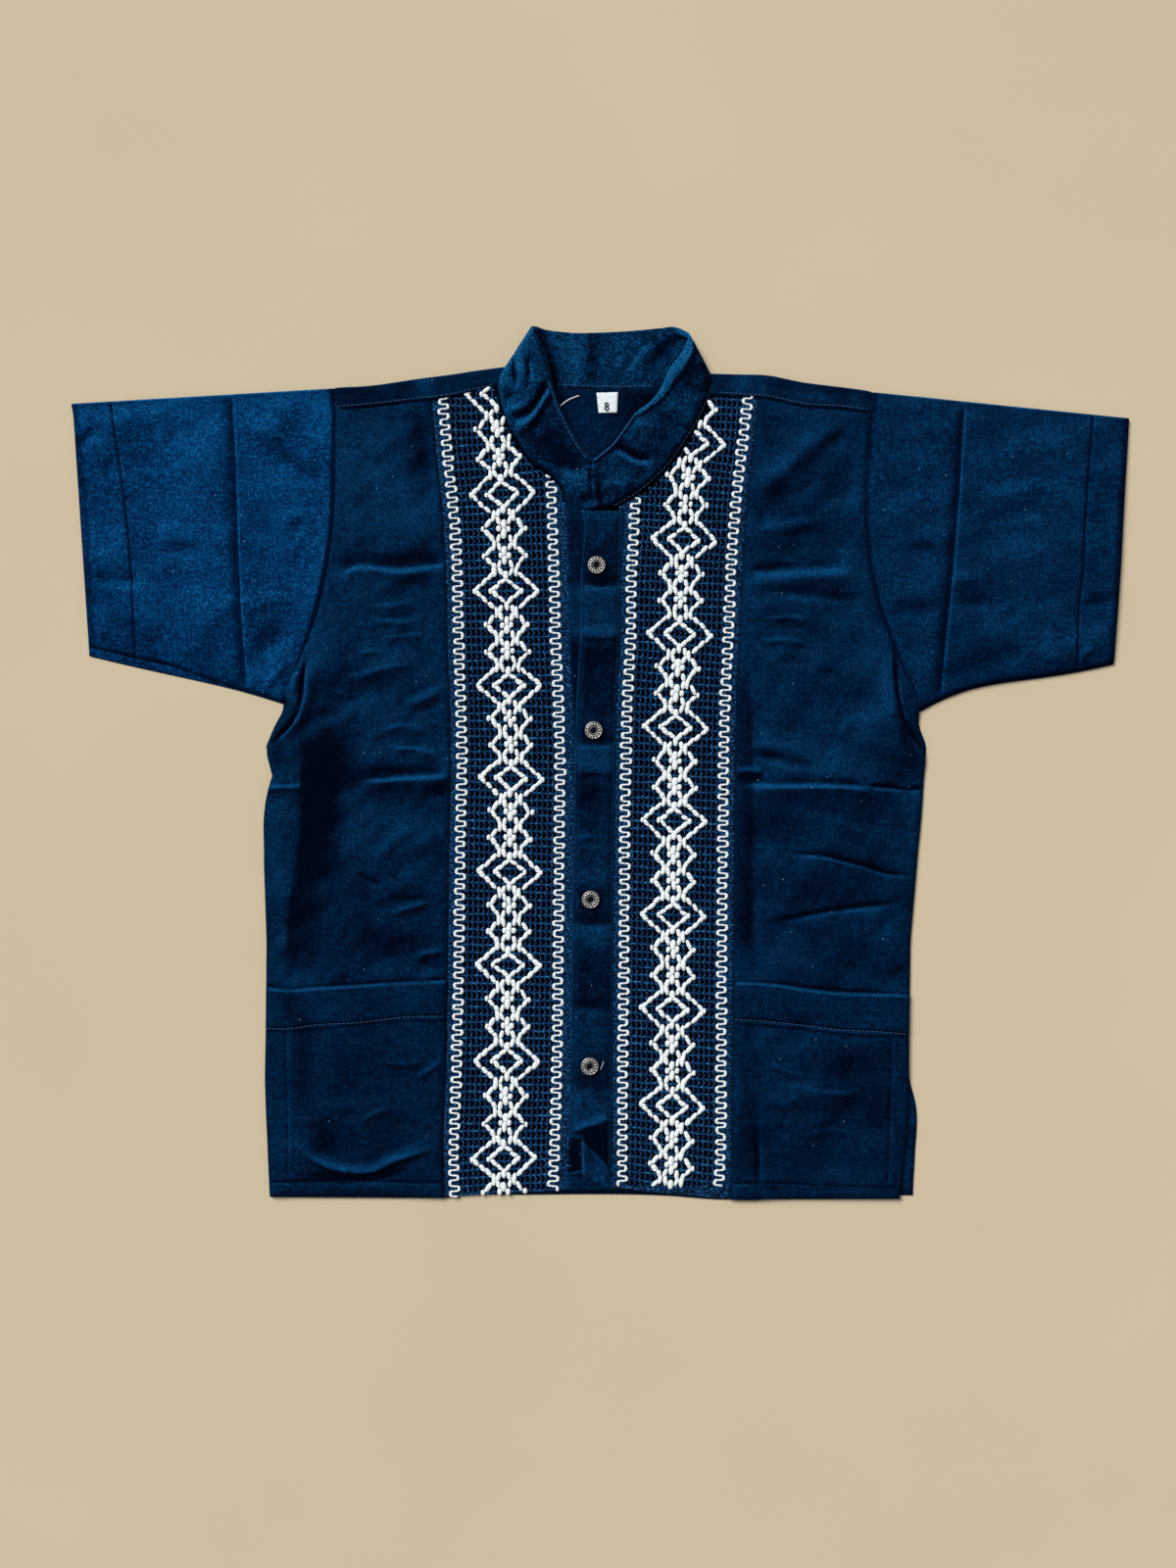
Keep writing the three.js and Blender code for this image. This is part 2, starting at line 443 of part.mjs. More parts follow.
function named(name, geometry, look) {
  const mesh = new THREE.Mesh(geometry, new THREE.MeshStandardMaterial(look));
  mesh.name = name;
  return mesh;
}

// Keeps a point of the body on its own side of the armhole seams.
function insideArmholes(x, y) {
  const right = readAt(sleeveRowsRight, 'armY', 'armX', y) + seamGap / 2;
  const left = readAt(sleeveRowsLeft, 'armY', 'armX', y) - seamGap / 2;
  return THREE.MathUtils.clamp(x, right, left);
}

// The shoulder of the back as a folded strip: flat under the front, round the fold, down to the seam.
function shoulderTurn(rows) {
  const { tail, crown, seamRun, outerInset, innerInset, innerRise, lowShare, highShare } = shoulderFold;
  const outer = [];
  const inner = [];
  for (const row of fillRows(rows, 'x', clothStep)) {
    const lie = (y) => frontLie(row.x, y) + layer;
    const { fold, seam } = row;
    const top = lie(fold - crown) + wall;
    const bend = top / 2;
    const outerLine = [
      [fold - tail, 0],
      [fold - bend, 0],
      [fold - outerInset, lowShare * top],
      [fold - outerInset, highShare * top],
      [fold - bend, top],
      [seam + seamRun, lie(seam + seamRun) + wall],
      [seam, lie(seam) + wall],
    ];
    const innerLine = [
      [fold - tail, wall],
      [fold - bend, wall],
      [fold - innerInset, wall + innerRise],
      [fold - innerInset, top - wall - innerRise],
      [fold - bend, top - wall],
      [seam + seamRun, lie(seam + seamRun)],
      [seam, lie(seam)],
    ];
    const place = ([y, z]) => new THREE.Vector3(insideArmholes(row.x, y), y, z);
    outer.push(outerLine.map(place));
    inner.push(innerLine.map(place));
  }
  return sheetBetween(inner, outer);
}

function makeBack() {
  const points = backHem.map((row) => [row.x, row.y]);
  for (const row of [...sideSeams].reverse()) points.push([row.left, row.y]);
  for (const row of [...sleeveRowsLeft.slice(1)].reverse()) points.push([row.armX - seamGap / 2, row.armY]);
  const shoulderPoint = (row) => {
    const y = row.fold - shoulderFold.panelInset;
    return [insideArmholes(row.x, y), y];
  };
  points.push(...[...shoulderLeft].reverse().map(shoulderPoint));
  for (const row of [...collarBack].reverse()) points.push([row.baseX, row.seam]);
  points.push(...[...shoulderRight].reverse().map(shoulderPoint));
  for (const row of sleeveRowsRight.slice(1)) points.push([row.armX + seamGap / 2, row.armY]);
  for (const row of sideSeams) points.push([row.right, row.y]);
  const outline = new THREE.Shape(points.map(([x, y]) => new THREE.Vector2(x, y)));
  const panel = new THREE.ExtrudeGeometry(outline, { depth: wall, bevelEnabled: false });
  const whole = toManifold(panel)
    .add(toManifold(shoulderTurn(shoulderRight)))
    .add(toManifold(shoulderTurn(shoulderLeft)));
  return named('back', fromManifold(whole), navy);
}

function makeSideFront(name, table, column, direction) {
  const rows = fillRows(table, 'outerY', clothStep).map((row, i, all) => {
    const last = i === all.length - 1;
    const startX = row.outerX + direction * seamGap / 2;
    const endX = readAt(bandLines, 'y', column, row.innerY) - direction * seamGap / 2;
    return {
      startX,
      startY: last ? readAt(frontHem, 'x', 'y', startX) : row.outerY,
      endX,
      endY: last ? readAt(frontHem, 'x', 'y', endX) : row.innerY,
    };
  });
  return named(name, flatPiece(rows, facets.front, frontLie), navy);
}

function makeBand(name, top, outerColumn, innerColumn, direction) {
  const rows = top.map((row) => ({
    startX: readAt(bandLines, 'y', outerColumn, row.outerY) + direction * seamGap / 2,
    startY: row.outerY,
    endX: row.innerX,
    endY: row.innerY,
  }));
  for (const y of [...bandRowsBelow, null]) {
    const at = y ?? hemLevel;
    const startX = readAt(bandLines, 'y', outerColumn, at) + direction * seamGap / 2;
    const endX = readAt(bandLines, 'y', innerColumn, at) - direction * seamGap / 2;
    rows.push({
      startX,
      startY: y ?? readAt(frontHem, 'x', 'y', startX),
      endX,
      endY: y ?? readAt(frontHem, 'x', 'y', endX),
    });
  }
  return named(name, flatPiece(rows, facets.band, frontLie), bandBlue);
}

function makeUnderPlacket() {
  const rows = [...underPlacketTop];
  for (const y of [...bandRowsBelow, placketFoot]) {
    const startX = readAt(bandLines, 'y', 'rightInner', y) + seamGap / 2;
    rows.push({ startX, startY: y, endX: startX + placketWidth, endY: y });
  }
  return named('placket_right', flatPiece(rows, facets.underPlacket, frontLie), darkNavy);
}

function makeUpperPlacket() {
  const rows = upperPlacketRows.map((y) => ({
    startX: readAt(placketEdge, 'y', 'x', y),
    startY: y,
    endX: readAt(bandLines, 'y', 'leftInner', y) - seamGap / 2,
    endY: y,
  }));
  const lie = (x, y) => frontLie(x, y) + layer + Math.max(0, foldHeight(tuckFolds, x, y));
  return named('placket_left', flatPiece(rows, facets.upperPlacket, lie), darkNavy);
}

function makePocket(name, mouth, frontRows, bandColumn, direction) {
  const { inset, lift, mouthLevel } = pocketSet;
  const lie = (x, y) => frontLie(x, y) + layer + lift + Math.max(0, foldHeight(pocketFolds, x, y));
  const under = [];
  for (let i = 0; i <= facets.pocketRows; i += 1) {
    const down = i / facets.pocketRows;
    const level = THREE.MathUtils.lerp(mouthLevel, hemLevel, down);
    const startX = readAt(frontRows, 'outerY', 'outerX', level) + direction * inset;
    const endX = readAt(bandLines, 'y', bandColumn, level) - direction * inset;
    const line = [];
    for (let j = 0; j <= facets.pocket; j += 1) {
      const x = THREE.MathUtils.lerp(startX, endX, j / facets.pocket);
      const footY = readAt(frontHem, 'x', 'y', x) + inset;
      const y = THREE.MathUtils.lerp(readAt(mouth, 'x', 'y', x), footY, down);
      line.push(new THREE.Vector3(x, y, lie(x, y)));
    }
    under.push(line);
  }
  const upper = under.map((line) => line.map((p) => new THREE.Vector3(p.x, p.y, p.z + wall)));
  return named(name, sheetBetween(under, upper), navy);
}

// A sleeve is a pressed tube. Each ring runs over the upper layer from the top fold to the under edge,
// round that edge and back along the lower layer, and never doubles back on itself.
function makeSleeve(name, table, underLayer, direction) {
  const fold = sleeveFold;
  const height = wall + sleeveAir + wall;
  const outer = [];
  const inner = [];
  for (const share of sleeveStations) {
    const spot = (row) => [
      THREE.MathUtils.lerp(row.cuffX, row.armX - direction * seamGap, share),
      THREE.MathUtils.lerp(row.cuffY, row.armY, share),
    ];
    const [foldX, foldY] = spot(table[0]);
    const [lowX, lowY] = spot(table[table.length - 1]);
    const [underX, underY] = spot(underLayer);
    const outerLine = [[foldX, foldY, fold.highShare * height]];
    const innerLine = [[foldX, foldY - fold.innerInset, height - wall - fold.innerRise]];
    table.forEach((row, j) => {
      const [x, y] = spot(row);
      const across = j / (table.length - 1);
      const lie = sleeveLie(x, y, across);
      const bend = j === 0 ? fold.bend : 0;
      const inset = j === table.length - 1 ? fold.underTop : 0;
      outerLine.push([x, y - bend, lie + wall]);
      innerLine.push([x, y - bend + inset, lie]);
    });
    outerLine.push([underX, underY, wall], [underX, underY, 0]);
    innerLine.push([lowX, lowY + fold.underMiddle, wall + sleeveAir / 2]);
    innerLine.push([lowX, lowY + fold.underFoot, wall]);
    for (let j = table.length - 1; j > 0; j -= 1) {
      const [x, y] = spot(table[j]);
      const inset = j === table.length - 1 ? fold.underFloor : 0;
      outerLine.push([x, y, 0]);
      innerLine.push([x, y + inset, wall]);
    }
    outerLine.push([foldX, foldY - fold.bend, 0], [foldX, foldY, fold.lowShare * height]);
    innerLine.push([foldX, foldY - fold.bend, wall]);
    innerLine.push([foldX, foldY - fold.innerInset, wall + fold.innerRise]);
    outer.push(outerLine.map(([x, y, z]) => new THREE.Vector3(x, y, z)));
    inner.push(innerLine.map(([x, y, z]) => new THREE.Vector3(x, y, z)));
  }
  return named(name, tubeBetween(outer, inner), navy);
}

// One station of the collar: points from its seam edge to its top edge on both faces.
function collarStation(row, outward, lowZ, highZ) {
  const lines = [[], []];
  for (const share of collarShares) {
    const point = new THREE.Vector3(
      THREE.MathUtils.lerp(row.baseX, row.topX, share),
      THREE.MathUtils.lerp(row.baseY, row.topY, share),
      THREE.MathUtils.lerp(lowZ, highZ, Math.sin(share * Math.PI / 2)),
    );
    lines[0].push(point);
    lines[1].push(point.clone().addScaledVector(outward, -collarWall));
  }
  return lines;
}

// The side of the collar rolls from the front half, above, to the back half, below.
function collarRoll(front, back, side) {
  const stations = [];
  const lowHigh = [front.lift + collarWall, front.lift + collarWall + front.stand];
  for (const angle of collarTurn.angles) {
    const turn = THREE.MathUtils.degToRad(angle);
    const share = angle / 180;
    const push = side * collarTurn.bulge * Math.sin(turn);
    const row = {
      baseX: THREE.MathUtils.lerp(front.baseX, back.baseX, share) + push,
      baseY: THREE.MathUtils.lerp(front.baseY, back.baseY, share) + collarTurn.baseShift * Math.sin(turn),
      topX: THREE.MathUtils.lerp(front.topX, back.topX, share) + push,
      topY: THREE.MathUtils.lerp(front.topY, back.topY, share) + collarTurn.topShift * Math.sin(turn),
    };
    const height = (1 + Math.cos(turn)) / 2;
    const sideways = Math.sin(turn);
    const outward = new THREE.Vector3(side * sideways, collarTurn.lean * sideways, Math.cos(turn));
    outward.normalize();
    stations.push(collarStation(row, outward, lowHigh[0] * height, lowHigh[1] * height));
  }
  return stations;
}

function makeCollar() {
  const up = new THREE.Vector3(0, 0, 1);
  const down = new THREE.Vector3(0, 0, -1);
  const frontStation = (row) => {
    const low = row.lift + collarWall;
    return collarStation(row, up, low, low + row.stand);
  };
  const lastRight = collarFrontRight[collarFrontRight.length - 1];
  const stations = [
    ...collarFrontRight.map(frontStation),
    ...collarRoll(lastRight, collarBack[0], -1),
    ...collarBack.map((row) => collarStation(row, down, 0, 0)),
    ...collarRoll(collarFrontLeft[0], collarBack[collarBack.length - 1], 1).reverse(),
    ...collarFrontLeft.map(frontStation),
  ];
  const outer = stations.map((lines) => lines[0]);
  const inner = stations.map((lines) => lines[1]);
  return named('collar', sheetBetween(inner, outer), navy);
}

function makeButton(row) {
  const size = buttonSize;
  const face = size.height - size.bevel;
  const grooveEdge = size.radius - size.rim;
  const profile = [
    [0, 0],
    [size.foot, 0],
    [size.radius, size.bevel],
    [size.radius, face],
    [size.radius - size.bevel, size.height],
    [grooveEdge, size.height],
    [grooveEdge - size.grooveSlope, face],
    [size.well + size.wellSlope, face],
    [size.well, size.height - size.wellDepth],
    [0, size.height - size.wellDepth],
  ];
  const disc = new THREE.LatheGeometry(profile.map(([r, z]) => new THREE.Vector2(r, z)), size.sides);
  disc.rotateX(Math.PI / 2);
  let solid = toManifold(disc);
  for (const turn of holeTurns) {
    const angle = THREE.MathUtils.degToRad(turn);
    const { holeRadius, holeSides, holeReach } = size;
    const hole = new THREE.CylinderGeometry(holeRadius, holeRadius, 4 * size.height, holeSides);
    hole.rotateX(Math.PI / 2);
    hole.translate(holeReach * Math.cos(angle), holeReach * Math.sin(angle), 0);
    solid = solid.subtract(toManifold(hole));
  }
  const button = named(row.name, fromManifold(solid), pewter);
  button.position.set(row.x, row.y, frontLie(row.x, row.y) + 2 * layer + size.standOff);
  return button;
}

function makeLabel() {
  const label = new THREE.BoxGeometry(labelSize.width, labelSize.height, wall);
  const mesh = named('size_label', label, white);
  mesh.position.set(labelSize.x, labelSize.y, layer + wall / 2);
  return mesh;
}

const shirt = new THREE.Group();
shirt.add(
  makeBack(),
  makeSideFront('front_right', frontRowsRight, 'rightOuter', 1),
  makeSideFront('front_left', frontRowsLeft, 'leftOuter', -1),
  makeBand('band_right', bandTopRight, 'rightOuter', 'rightInner', 1),
  makeBand('band_left', bandTopLeft, 'leftOuter', 'leftInner', -1),
  makeUnderPlacket(),
  makeUpperPlacket(),
  makePocket('pocket_right', pocketMouthRight, frontRowsRight, 'rightOuter', 1),
  makePocket('pocket_left', pocketMouthLeft, frontRowsLeft, 'leftOuter', -1),
  makeSleeve('sleeve_right', sleeveRowsRight, underLayerRight, 1),
  makeSleeve('sleeve_left', sleeveRowsLeft, underLayerLeft, -1),
  makeCollar(),
  makeLabel(),
  ...buttonRows.map(makeButton),
);

// The origin is the middle of the shirt's footprint.
const footprint = new THREE.Box3().setFromObject(shirt);
const middle = footprint.getCenter(new THREE.Vector3());
shirt.position.set(-middle.x, -middle.y, -footprint.min.z);

export default shirt;
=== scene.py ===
# A child's guayabera in navy cotton manta, buttoned and laid on its back on a pale floor.
# Lengths below are millimetres until addPiece turns them to metres. The wearer's left is +X.
import math

import bpy
import numpy as np
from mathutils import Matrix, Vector
from mathutils.bvhtree import BVHTree
from mathutils.geometry import delaunay_2d_cdt


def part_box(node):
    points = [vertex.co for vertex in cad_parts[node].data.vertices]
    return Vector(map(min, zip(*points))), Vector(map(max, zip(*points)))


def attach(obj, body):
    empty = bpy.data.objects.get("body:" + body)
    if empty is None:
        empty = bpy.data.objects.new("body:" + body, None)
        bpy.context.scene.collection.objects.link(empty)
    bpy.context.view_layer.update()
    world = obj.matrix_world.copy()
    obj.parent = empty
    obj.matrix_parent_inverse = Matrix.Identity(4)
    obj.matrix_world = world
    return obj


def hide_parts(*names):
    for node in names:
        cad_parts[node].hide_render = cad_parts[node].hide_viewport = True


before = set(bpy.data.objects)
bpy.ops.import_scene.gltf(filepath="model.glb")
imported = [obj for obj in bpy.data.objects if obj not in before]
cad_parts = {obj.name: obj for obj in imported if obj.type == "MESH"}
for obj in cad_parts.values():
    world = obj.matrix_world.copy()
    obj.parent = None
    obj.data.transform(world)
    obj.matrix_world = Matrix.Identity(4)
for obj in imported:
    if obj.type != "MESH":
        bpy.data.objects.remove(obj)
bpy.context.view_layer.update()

mm = 0.001
surfaces = {}            # height of each finished piece's upper side, by piece name


# Small tools
def smoothRise(share):
    share = np.clip(share, 0, 1)
    return share * share * (3 - 2 * share)


# 1 at nothing apart, falling smoothly to 0 beyond the width
def bell(apart, width):
    return np.exp(-(apart / width)**2)


# Value of a column of a table at places down its first column
def column(rows, k=1):
    rows = sorted(rows)
    return lambda place: np.interp(place, [row[0] for row in rows], [row[k] for row in rows])


# How far along a line each of its points is
def reachAlong(line):
    return np.concatenate([[0], np.cumsum(np.linalg.norm(np.diff(line[:, :2], axis=0), axis=1))])


# A smooth line through a few points, with a point every step
def curveThrough(points, step):
    points = np.asarray(points, float)
    gaps = np.linalg.norm(np.diff(points[:, :2], axis=0), axis=1)
    if len(points) == 2:
        count = max(1, int(math.ceil(gaps[0] / step)))
        share = np.linspace(0, 1, count + 1)[:, None]
        return points[0] * (1 - share) + points[1] * share
    slopes = np.diff(points, axis=0) / gaps[:, None]
    inner = (slopes[:-1] * gaps[1:, None] + slopes[1:] * gaps[:-1, None]) / (gaps[1:] + gaps[:-1])[:, None]
    tangents = np.vstack([1.5 * slopes[:1] - 0.5 * inner[:1], inner, 1.5 * slopes[-1:] - 0.5 * inner[-1:]])
    line = [points[:1]]
    for i, gap in enumerate(gaps):
        count = max(1, int(math.ceil(gap / step)))
        t = np.linspace(0, 1, count + 1)[1:, None]
        line.append((2 * t**3 - 3 * t**2 + 1) * points[i] + (t**3 - 2 * t**2 + t) * gap * tangents[i]
                    + (3 * t**2 - 2 * t**3) * points[i + 1] + (t**3 - t**2) * gap * tangents[i + 1])
    return np.vstack(line)


# Distance of each point from a line, how far along the line it is, and on which side it lies
def offLine(line, x, y):
    start, run = line[:-1], np.diff(line[:, :2], axis=0)
    square = (run**2).sum(1)
    spot = np.stack([x, y], -1)[:, None, :] - start[None, :, :2]
    share = np.clip((spot * run).sum(-1) / square, 0, 1)
    off = spot - share[..., None] * run
    apart = np.hypot(off[..., 0], off[..., 1])
    nearest = apart.argmin(1)
    pick = np.arange(len(x))
    reached = reachAlong(line)
    along = reached[nearest] + share[pick, nearest] * np.sqrt(square[nearest])
    cross = run[nearest, 0] * off[pick, nearest, 1] - run[nearest, 1] * off[pick, nearest, 0]
    return apart[pick, nearest], along, reached[-1], np.sign(cross)


# A soft ridge, or a trough if its rise is below 0, with its width to the left and to the right of the path
# and the share of it that fades at each end
def ridge(path, rise, left, right=None, fade=0.3):
    return {"path": path, "rise": rise, "left": left, "right": left if right is None else right, "fade": fade}


# Height that a list of ridges adds
def creaseHeight(creases, x, y):
    height = np.zeros(len(x))
    for crease in creases:
        line = curveThrough(crease["path"], 5)
        left, right = crease["left"], crease["right"]
        reach = 3 * max(left, right)
        near = ((x > line[:, 0].min() - reach) & (x < line[:, 0].max() + reach)
                & (y > line[:, 1].min() - reach) & (y < line[:, 1].max() + reach))
        if not near.any():
            continue
        apart, along, total, side = offLine(line, x[near], y[near])
        width = np.where(side > 0, left, right)
        fade = crease["fade"] * total
        ends = smoothRise(along / fade) * smoothRise((total - along) / fade) if fade else 1
        height[near] += crease["rise"] * ends * bell(apart, width)
    return height


# Many short faint creases, strewn by chance over a box, mostly lying one way
strewnLook = {"spread": 18, "length": (9, 34), "width": (1.8, 4.2), "bow": 0.12}


def strewnCreases(box, count, lean, seed, rise=0.3):
    rng = np.random.default_rng(seed)
    creases = []
    for _ in range(count):
        x, y = rng.uniform(box[0], box[1]), rng.uniform(box[2], box[3])
        turn = math.radians(lean + rng.normal(0, strewnLook["spread"]))
        size = rng.uniform(*strewnLook["length"])
        bow = rng.normal(0, strewnLook["bow"]) * size
        middle = (x - bow * math.sin(turn), y + bow * math.cos(turn))
        ends = [(x + s * size * math.cos(turn), y + s * size * math.sin(turn)) for s in (-0.5, 0.5)]
        creases.append(ridge([ends[0], middle, ends[1]], rng.normal(0, rise),
                             rng.uniform(*strewnLook["width"]), rng.uniform(*strewnLook["width"]), 0.45))
    return creases


# Painted shade and light: cloth painted darker or paler in soft patches (middle, half sizes, turn and
# amount), along lines (written like creases) and inside outlines
def paintedShading(patches, lines=(), areas=()):
    def tone(x, y):
        paintedShade = creaseHeight(lines, x, y)
        for px, py, long, wide, turn, amount in patches:
            c, s = math.cos(math.radians(turn)), math.sin(math.radians(turn))
            u, v = (x - px) * c + (y - py) * s, (y - py) * c - (x - px) * s
            paintedShade += amount * np.exp(-(u / long)**2 - (v / wide)**2)
        for area in areas:
            loop = np.array(area["loop"], float)
            apart = edgeDistance(loop, x, y) * np.where(inLoop(loop, x, y), 1, -1)
            paintedShade += area["amount"] * smoothRise(0.5 + apart / area["soft"])
        return paintedShade
    return tone


# Painted light and shade: cloth that tilts toward the sun is painted paler, and cloth that tilts away is
# painted deeper
napAndTiltShade = {"towardLight": (-0.5, 0.86), "gain": 2.1, "most": 0.9}


def paintedTiltShade(normals):
    tilt = normals[:, 0] * napAndTiltShade["towardLight"][0] + normals[:, 1] * napAndTiltShade["towardLight"][1]
    return np.clip(napAndTiltShade["gain"] * tilt, -napAndTiltShade["most"], napAndTiltShade["most"])


def pointNormals(points, faces):
    a, b, c = (points[faces[:, i]] for i in range(3))
    normals = np.zeros_like(points)
    for i in range(3):
        np.add.at(normals, faces[:, i], np.cross(b - a, c - a))
    return normals / np.maximum(np.linalg.norm(normals, axis=1, keepdims=True), 1e-9)


# The slow swell of cloth that has been folded and laid out again
def swell(x, y, seed, size=1.0):
    rng = np.random.default_rng(seed)
    height = np.zeros(len(x))
    for length, rise in ((95, 0.5), (62, 0.5), (42, 0.38), (29, 0.26), (20, 0.16), (13, 0.09)):
        for _ in range(3):
            turn = rng.normal(math.pi / 2, 0.75)
            wave = 2 * math.pi / (length * rng.uniform(0.8, 1.25))
            phase = rng.uniform(0, 2 * math.pi)
            height += rise * size * np.sin(wave * (x * math.cos(turn) + y * math.sin(turn)) + phase)
    return height


# Reading the frame
def readNode(node):
    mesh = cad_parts[node].data
    mesh.calc_loop_triangles()
    points = np.zeros(len(mesh.vertices) * 3, np.float32)
    mesh.vertices.foreach_get("co", points)
    corners = np.zeros(len(mesh.loop_triangles) * 3, np.int32)
    mesh.loop_triangles.foreach_get("vertices", corners)
    points, index = np.unique(np.round(points.reshape(-1, 3) / mm, 3), axis=0, return_inverse=True)
    return points.astype(float), index.reshape(-1)[corners].reshape(-1, 3)


# The outline in plan of the faces of a node that look up (or down), between two heights
def footprint(node, above=-1.0, below=100.0, facing=1):
    points, triangles = readNode(node)
    a, b, c = (points[triangles[:, i]] for i in range(3))
    normal = np.cross(b - a, c - a)
    tilt = normal[:, 2] / np.maximum(np.linalg.norm(normal, axis=1), 1e-9)
    levels = points[triangles][:, :, 2]
    chosen = triangles[(facing * tilt > 0.3) & (levels.min(1) > above) & (levels.max(1) < below)]
    sides = {(int(t[k]), int(t[(k + 1) % 3])) for t in chosen for k in range(3)}
    follow = {a: b for a, b in sides if (b, a) not in sides}
    best = []
    while follow:
        first = next(iter(follow))
        loop, at = [first], follow.pop(first)
        while at != first and at in follow:
            loop.append(at)
            at = follow.pop(at)
        best = max(best, loop, key=len)
    outline = points[best][:, :2]
    return outline if facing > 0 else outline[::-1]


# Height of a node's upper side as a smooth function of the place
def readHeights(node, cell=4.0, blur=2):
    points, triangles = readNode(node)
    tree = BVHTree.FromPolygons([Vector(p) for p in points], triangles.tolist())
    low, high = points.min(0)[:2] - 4 * cell, points.max(0)[:2] + 4 * cell
    xs, ys = np.arange(low[0], high[0], cell), np.arange(low[1], high[1], cell)
    grid = np.full((len(xs), len(ys)), np.nan)
    down = Vector((0, 0, -1))
    for i, x in enumerate(xs):
        for j, y in enumerate(ys):
            hit = tree.ray_cast(Vector((x, y, 100)), down)[0]
            if hit is not None:
                grid[i, j] = hit.z

    def around(values):
        wide = np.pad(values, 1, mode="edge")
        return [wide[1 + a:1 + a + values.shape[0], 1 + b:1 + b + values.shape[1]]
                for a in (-1, 0, 1) for b in (-1, 0, 1)]

    while np.isnan(grid).any():
        known = sum(np.isfinite(n) for n in around(grid))
        total = sum(np.nan_to_num(n) for n in around(grid))
        fill = np.where(known > 0, total / np.maximum(known, 1), np.nan)
        grid = np.where(np.isnan(grid), fill, grid)
    for _ in range(blur):
        grid = sum(around(grid)) / 9

    def weights(t):
        return ((1 - t)**3 / 6, (3 * t**3 - 6 * t**2 + 4) / 6,
                (3 * t**2 + 3 * t + 1 - 3 * t**3) / 6, t**3 / 6)

    def height(x, y):
        u = np.clip((x - low[0]) / cell, 1, len(xs) - 3.001)
        v = np.clip((y - low[1]) / cell, 1, len(ys) - 3.001)
        i, j = np.floor(u).astype(int), np.floor(v).astype(int)
        total = 0
        for m, wu in enumerate(weights(u - i)):
            for n, wv in enumerate(weights(v - j)):
                total = total + wu * wv * grid[i + m - 1, j + n - 1]
        return total

    return height


# A node's outline made smooth, but for its corners, with a point every step
def smoothOutline(loop, step, corner=30):
    keep = np.linalg.norm(loop - np.roll(loop, 1, axis=0), axis=1) > 0.4
    loop = loop[keep]
    before, after = loop - np.roll(loop, 1, axis=0), np.roll(loop, -1, axis=0) - loop
    cross = before[:, 0] * after[:, 1] - before[:, 1] * after[:, 0]
    turn = np.degrees(np.arctan2(cross, (before * after).sum(1)))
    corners = np.flatnonzero(np.abs(turn) > corner)
    runs = []
    for start, stop in zip(corners, np.roll(corners, -1)):
        stop = stop if stop > start else stop + len(loop)
        runs.append(curveThrough(loop[np.arange(start, stop + 1) % len(loop)], step)[:-1])
    return np.vstack(runs)


def inLoop(loop, x, y):
    inside = np.zeros(len(x), bool)
    for (ax, ay), (bx, by) in zip(loop, np.roll(loop, -1, axis=0)):
        crosses = (ay > y) != (by > y)
        if ay != by:
            inside ^= crosses & (x < (bx - ax) * (y - ay) / (by - ay) + ax)
    return inside


# Distance in from an outline, worked out in portions to keep the arrays small
def edgeDistance(loop, x, y):
    closed = np.vstack([loop, loop[:1]])
    parts = [offLine(closed, x[i:i + 2000], y[i:i + 2000])[0] for i in range(0, len(x), 2000)]
    return np.concatenate(parts) if parts else np.zeros(0)


# Materials
def linear(colour):
    parts = [int(colour[i:i + 2], 16) / 255 for i in (1, 3, 5)]
    return [c / 12.92 if c <= 0.04045 else ((c + 0.055) / 1.055)**2.4 for c in parts] + [1]


# Adds a node with its settings; an input that is another node's socket is linked, and others are set
def add(tree, kind, inputs=None, **settings):
    node = tree.nodes.new("ShaderNode" + kind)
    for key, value in settings.items():
        setattr(node, key, value)
    for key, value in (inputs or {}).items():
        if isinstance(value, bpy.types.NodeSocket):
            tree.links.new(value, node.inputs[key])
        else:
            node.inputs[key].default_value = value
    return node.outputs


def startMaterial(name):
    material = bpy.data.materials.new(name)
    material.use_nodes = True
    material.node_tree.nodes.remove(material.node_tree.nodes["Principled BSDF"])
    return material, material.node_tree


def finishMaterial(tree, inputs):
    shader = add(tree, "BsdfPrincipled", inputs)[0]
    tree.links.new(shader, tree.nodes["Material Output"].inputs["Surface"])


# Noise whose grains have a real size in millimetres each way
def grains(tree, place, size, detail=2.0, rough=0.55):
    scale = tuple(1 / (s * mm) for s in size)
    sized = add(tree, "Mapping", {"Vector": place, "Scale": scale})[0]
    return add(tree, "TexNoise", {"Vector": sized, "Scale": 1.0, "Detail": detail, "Roughness": rough})[0]


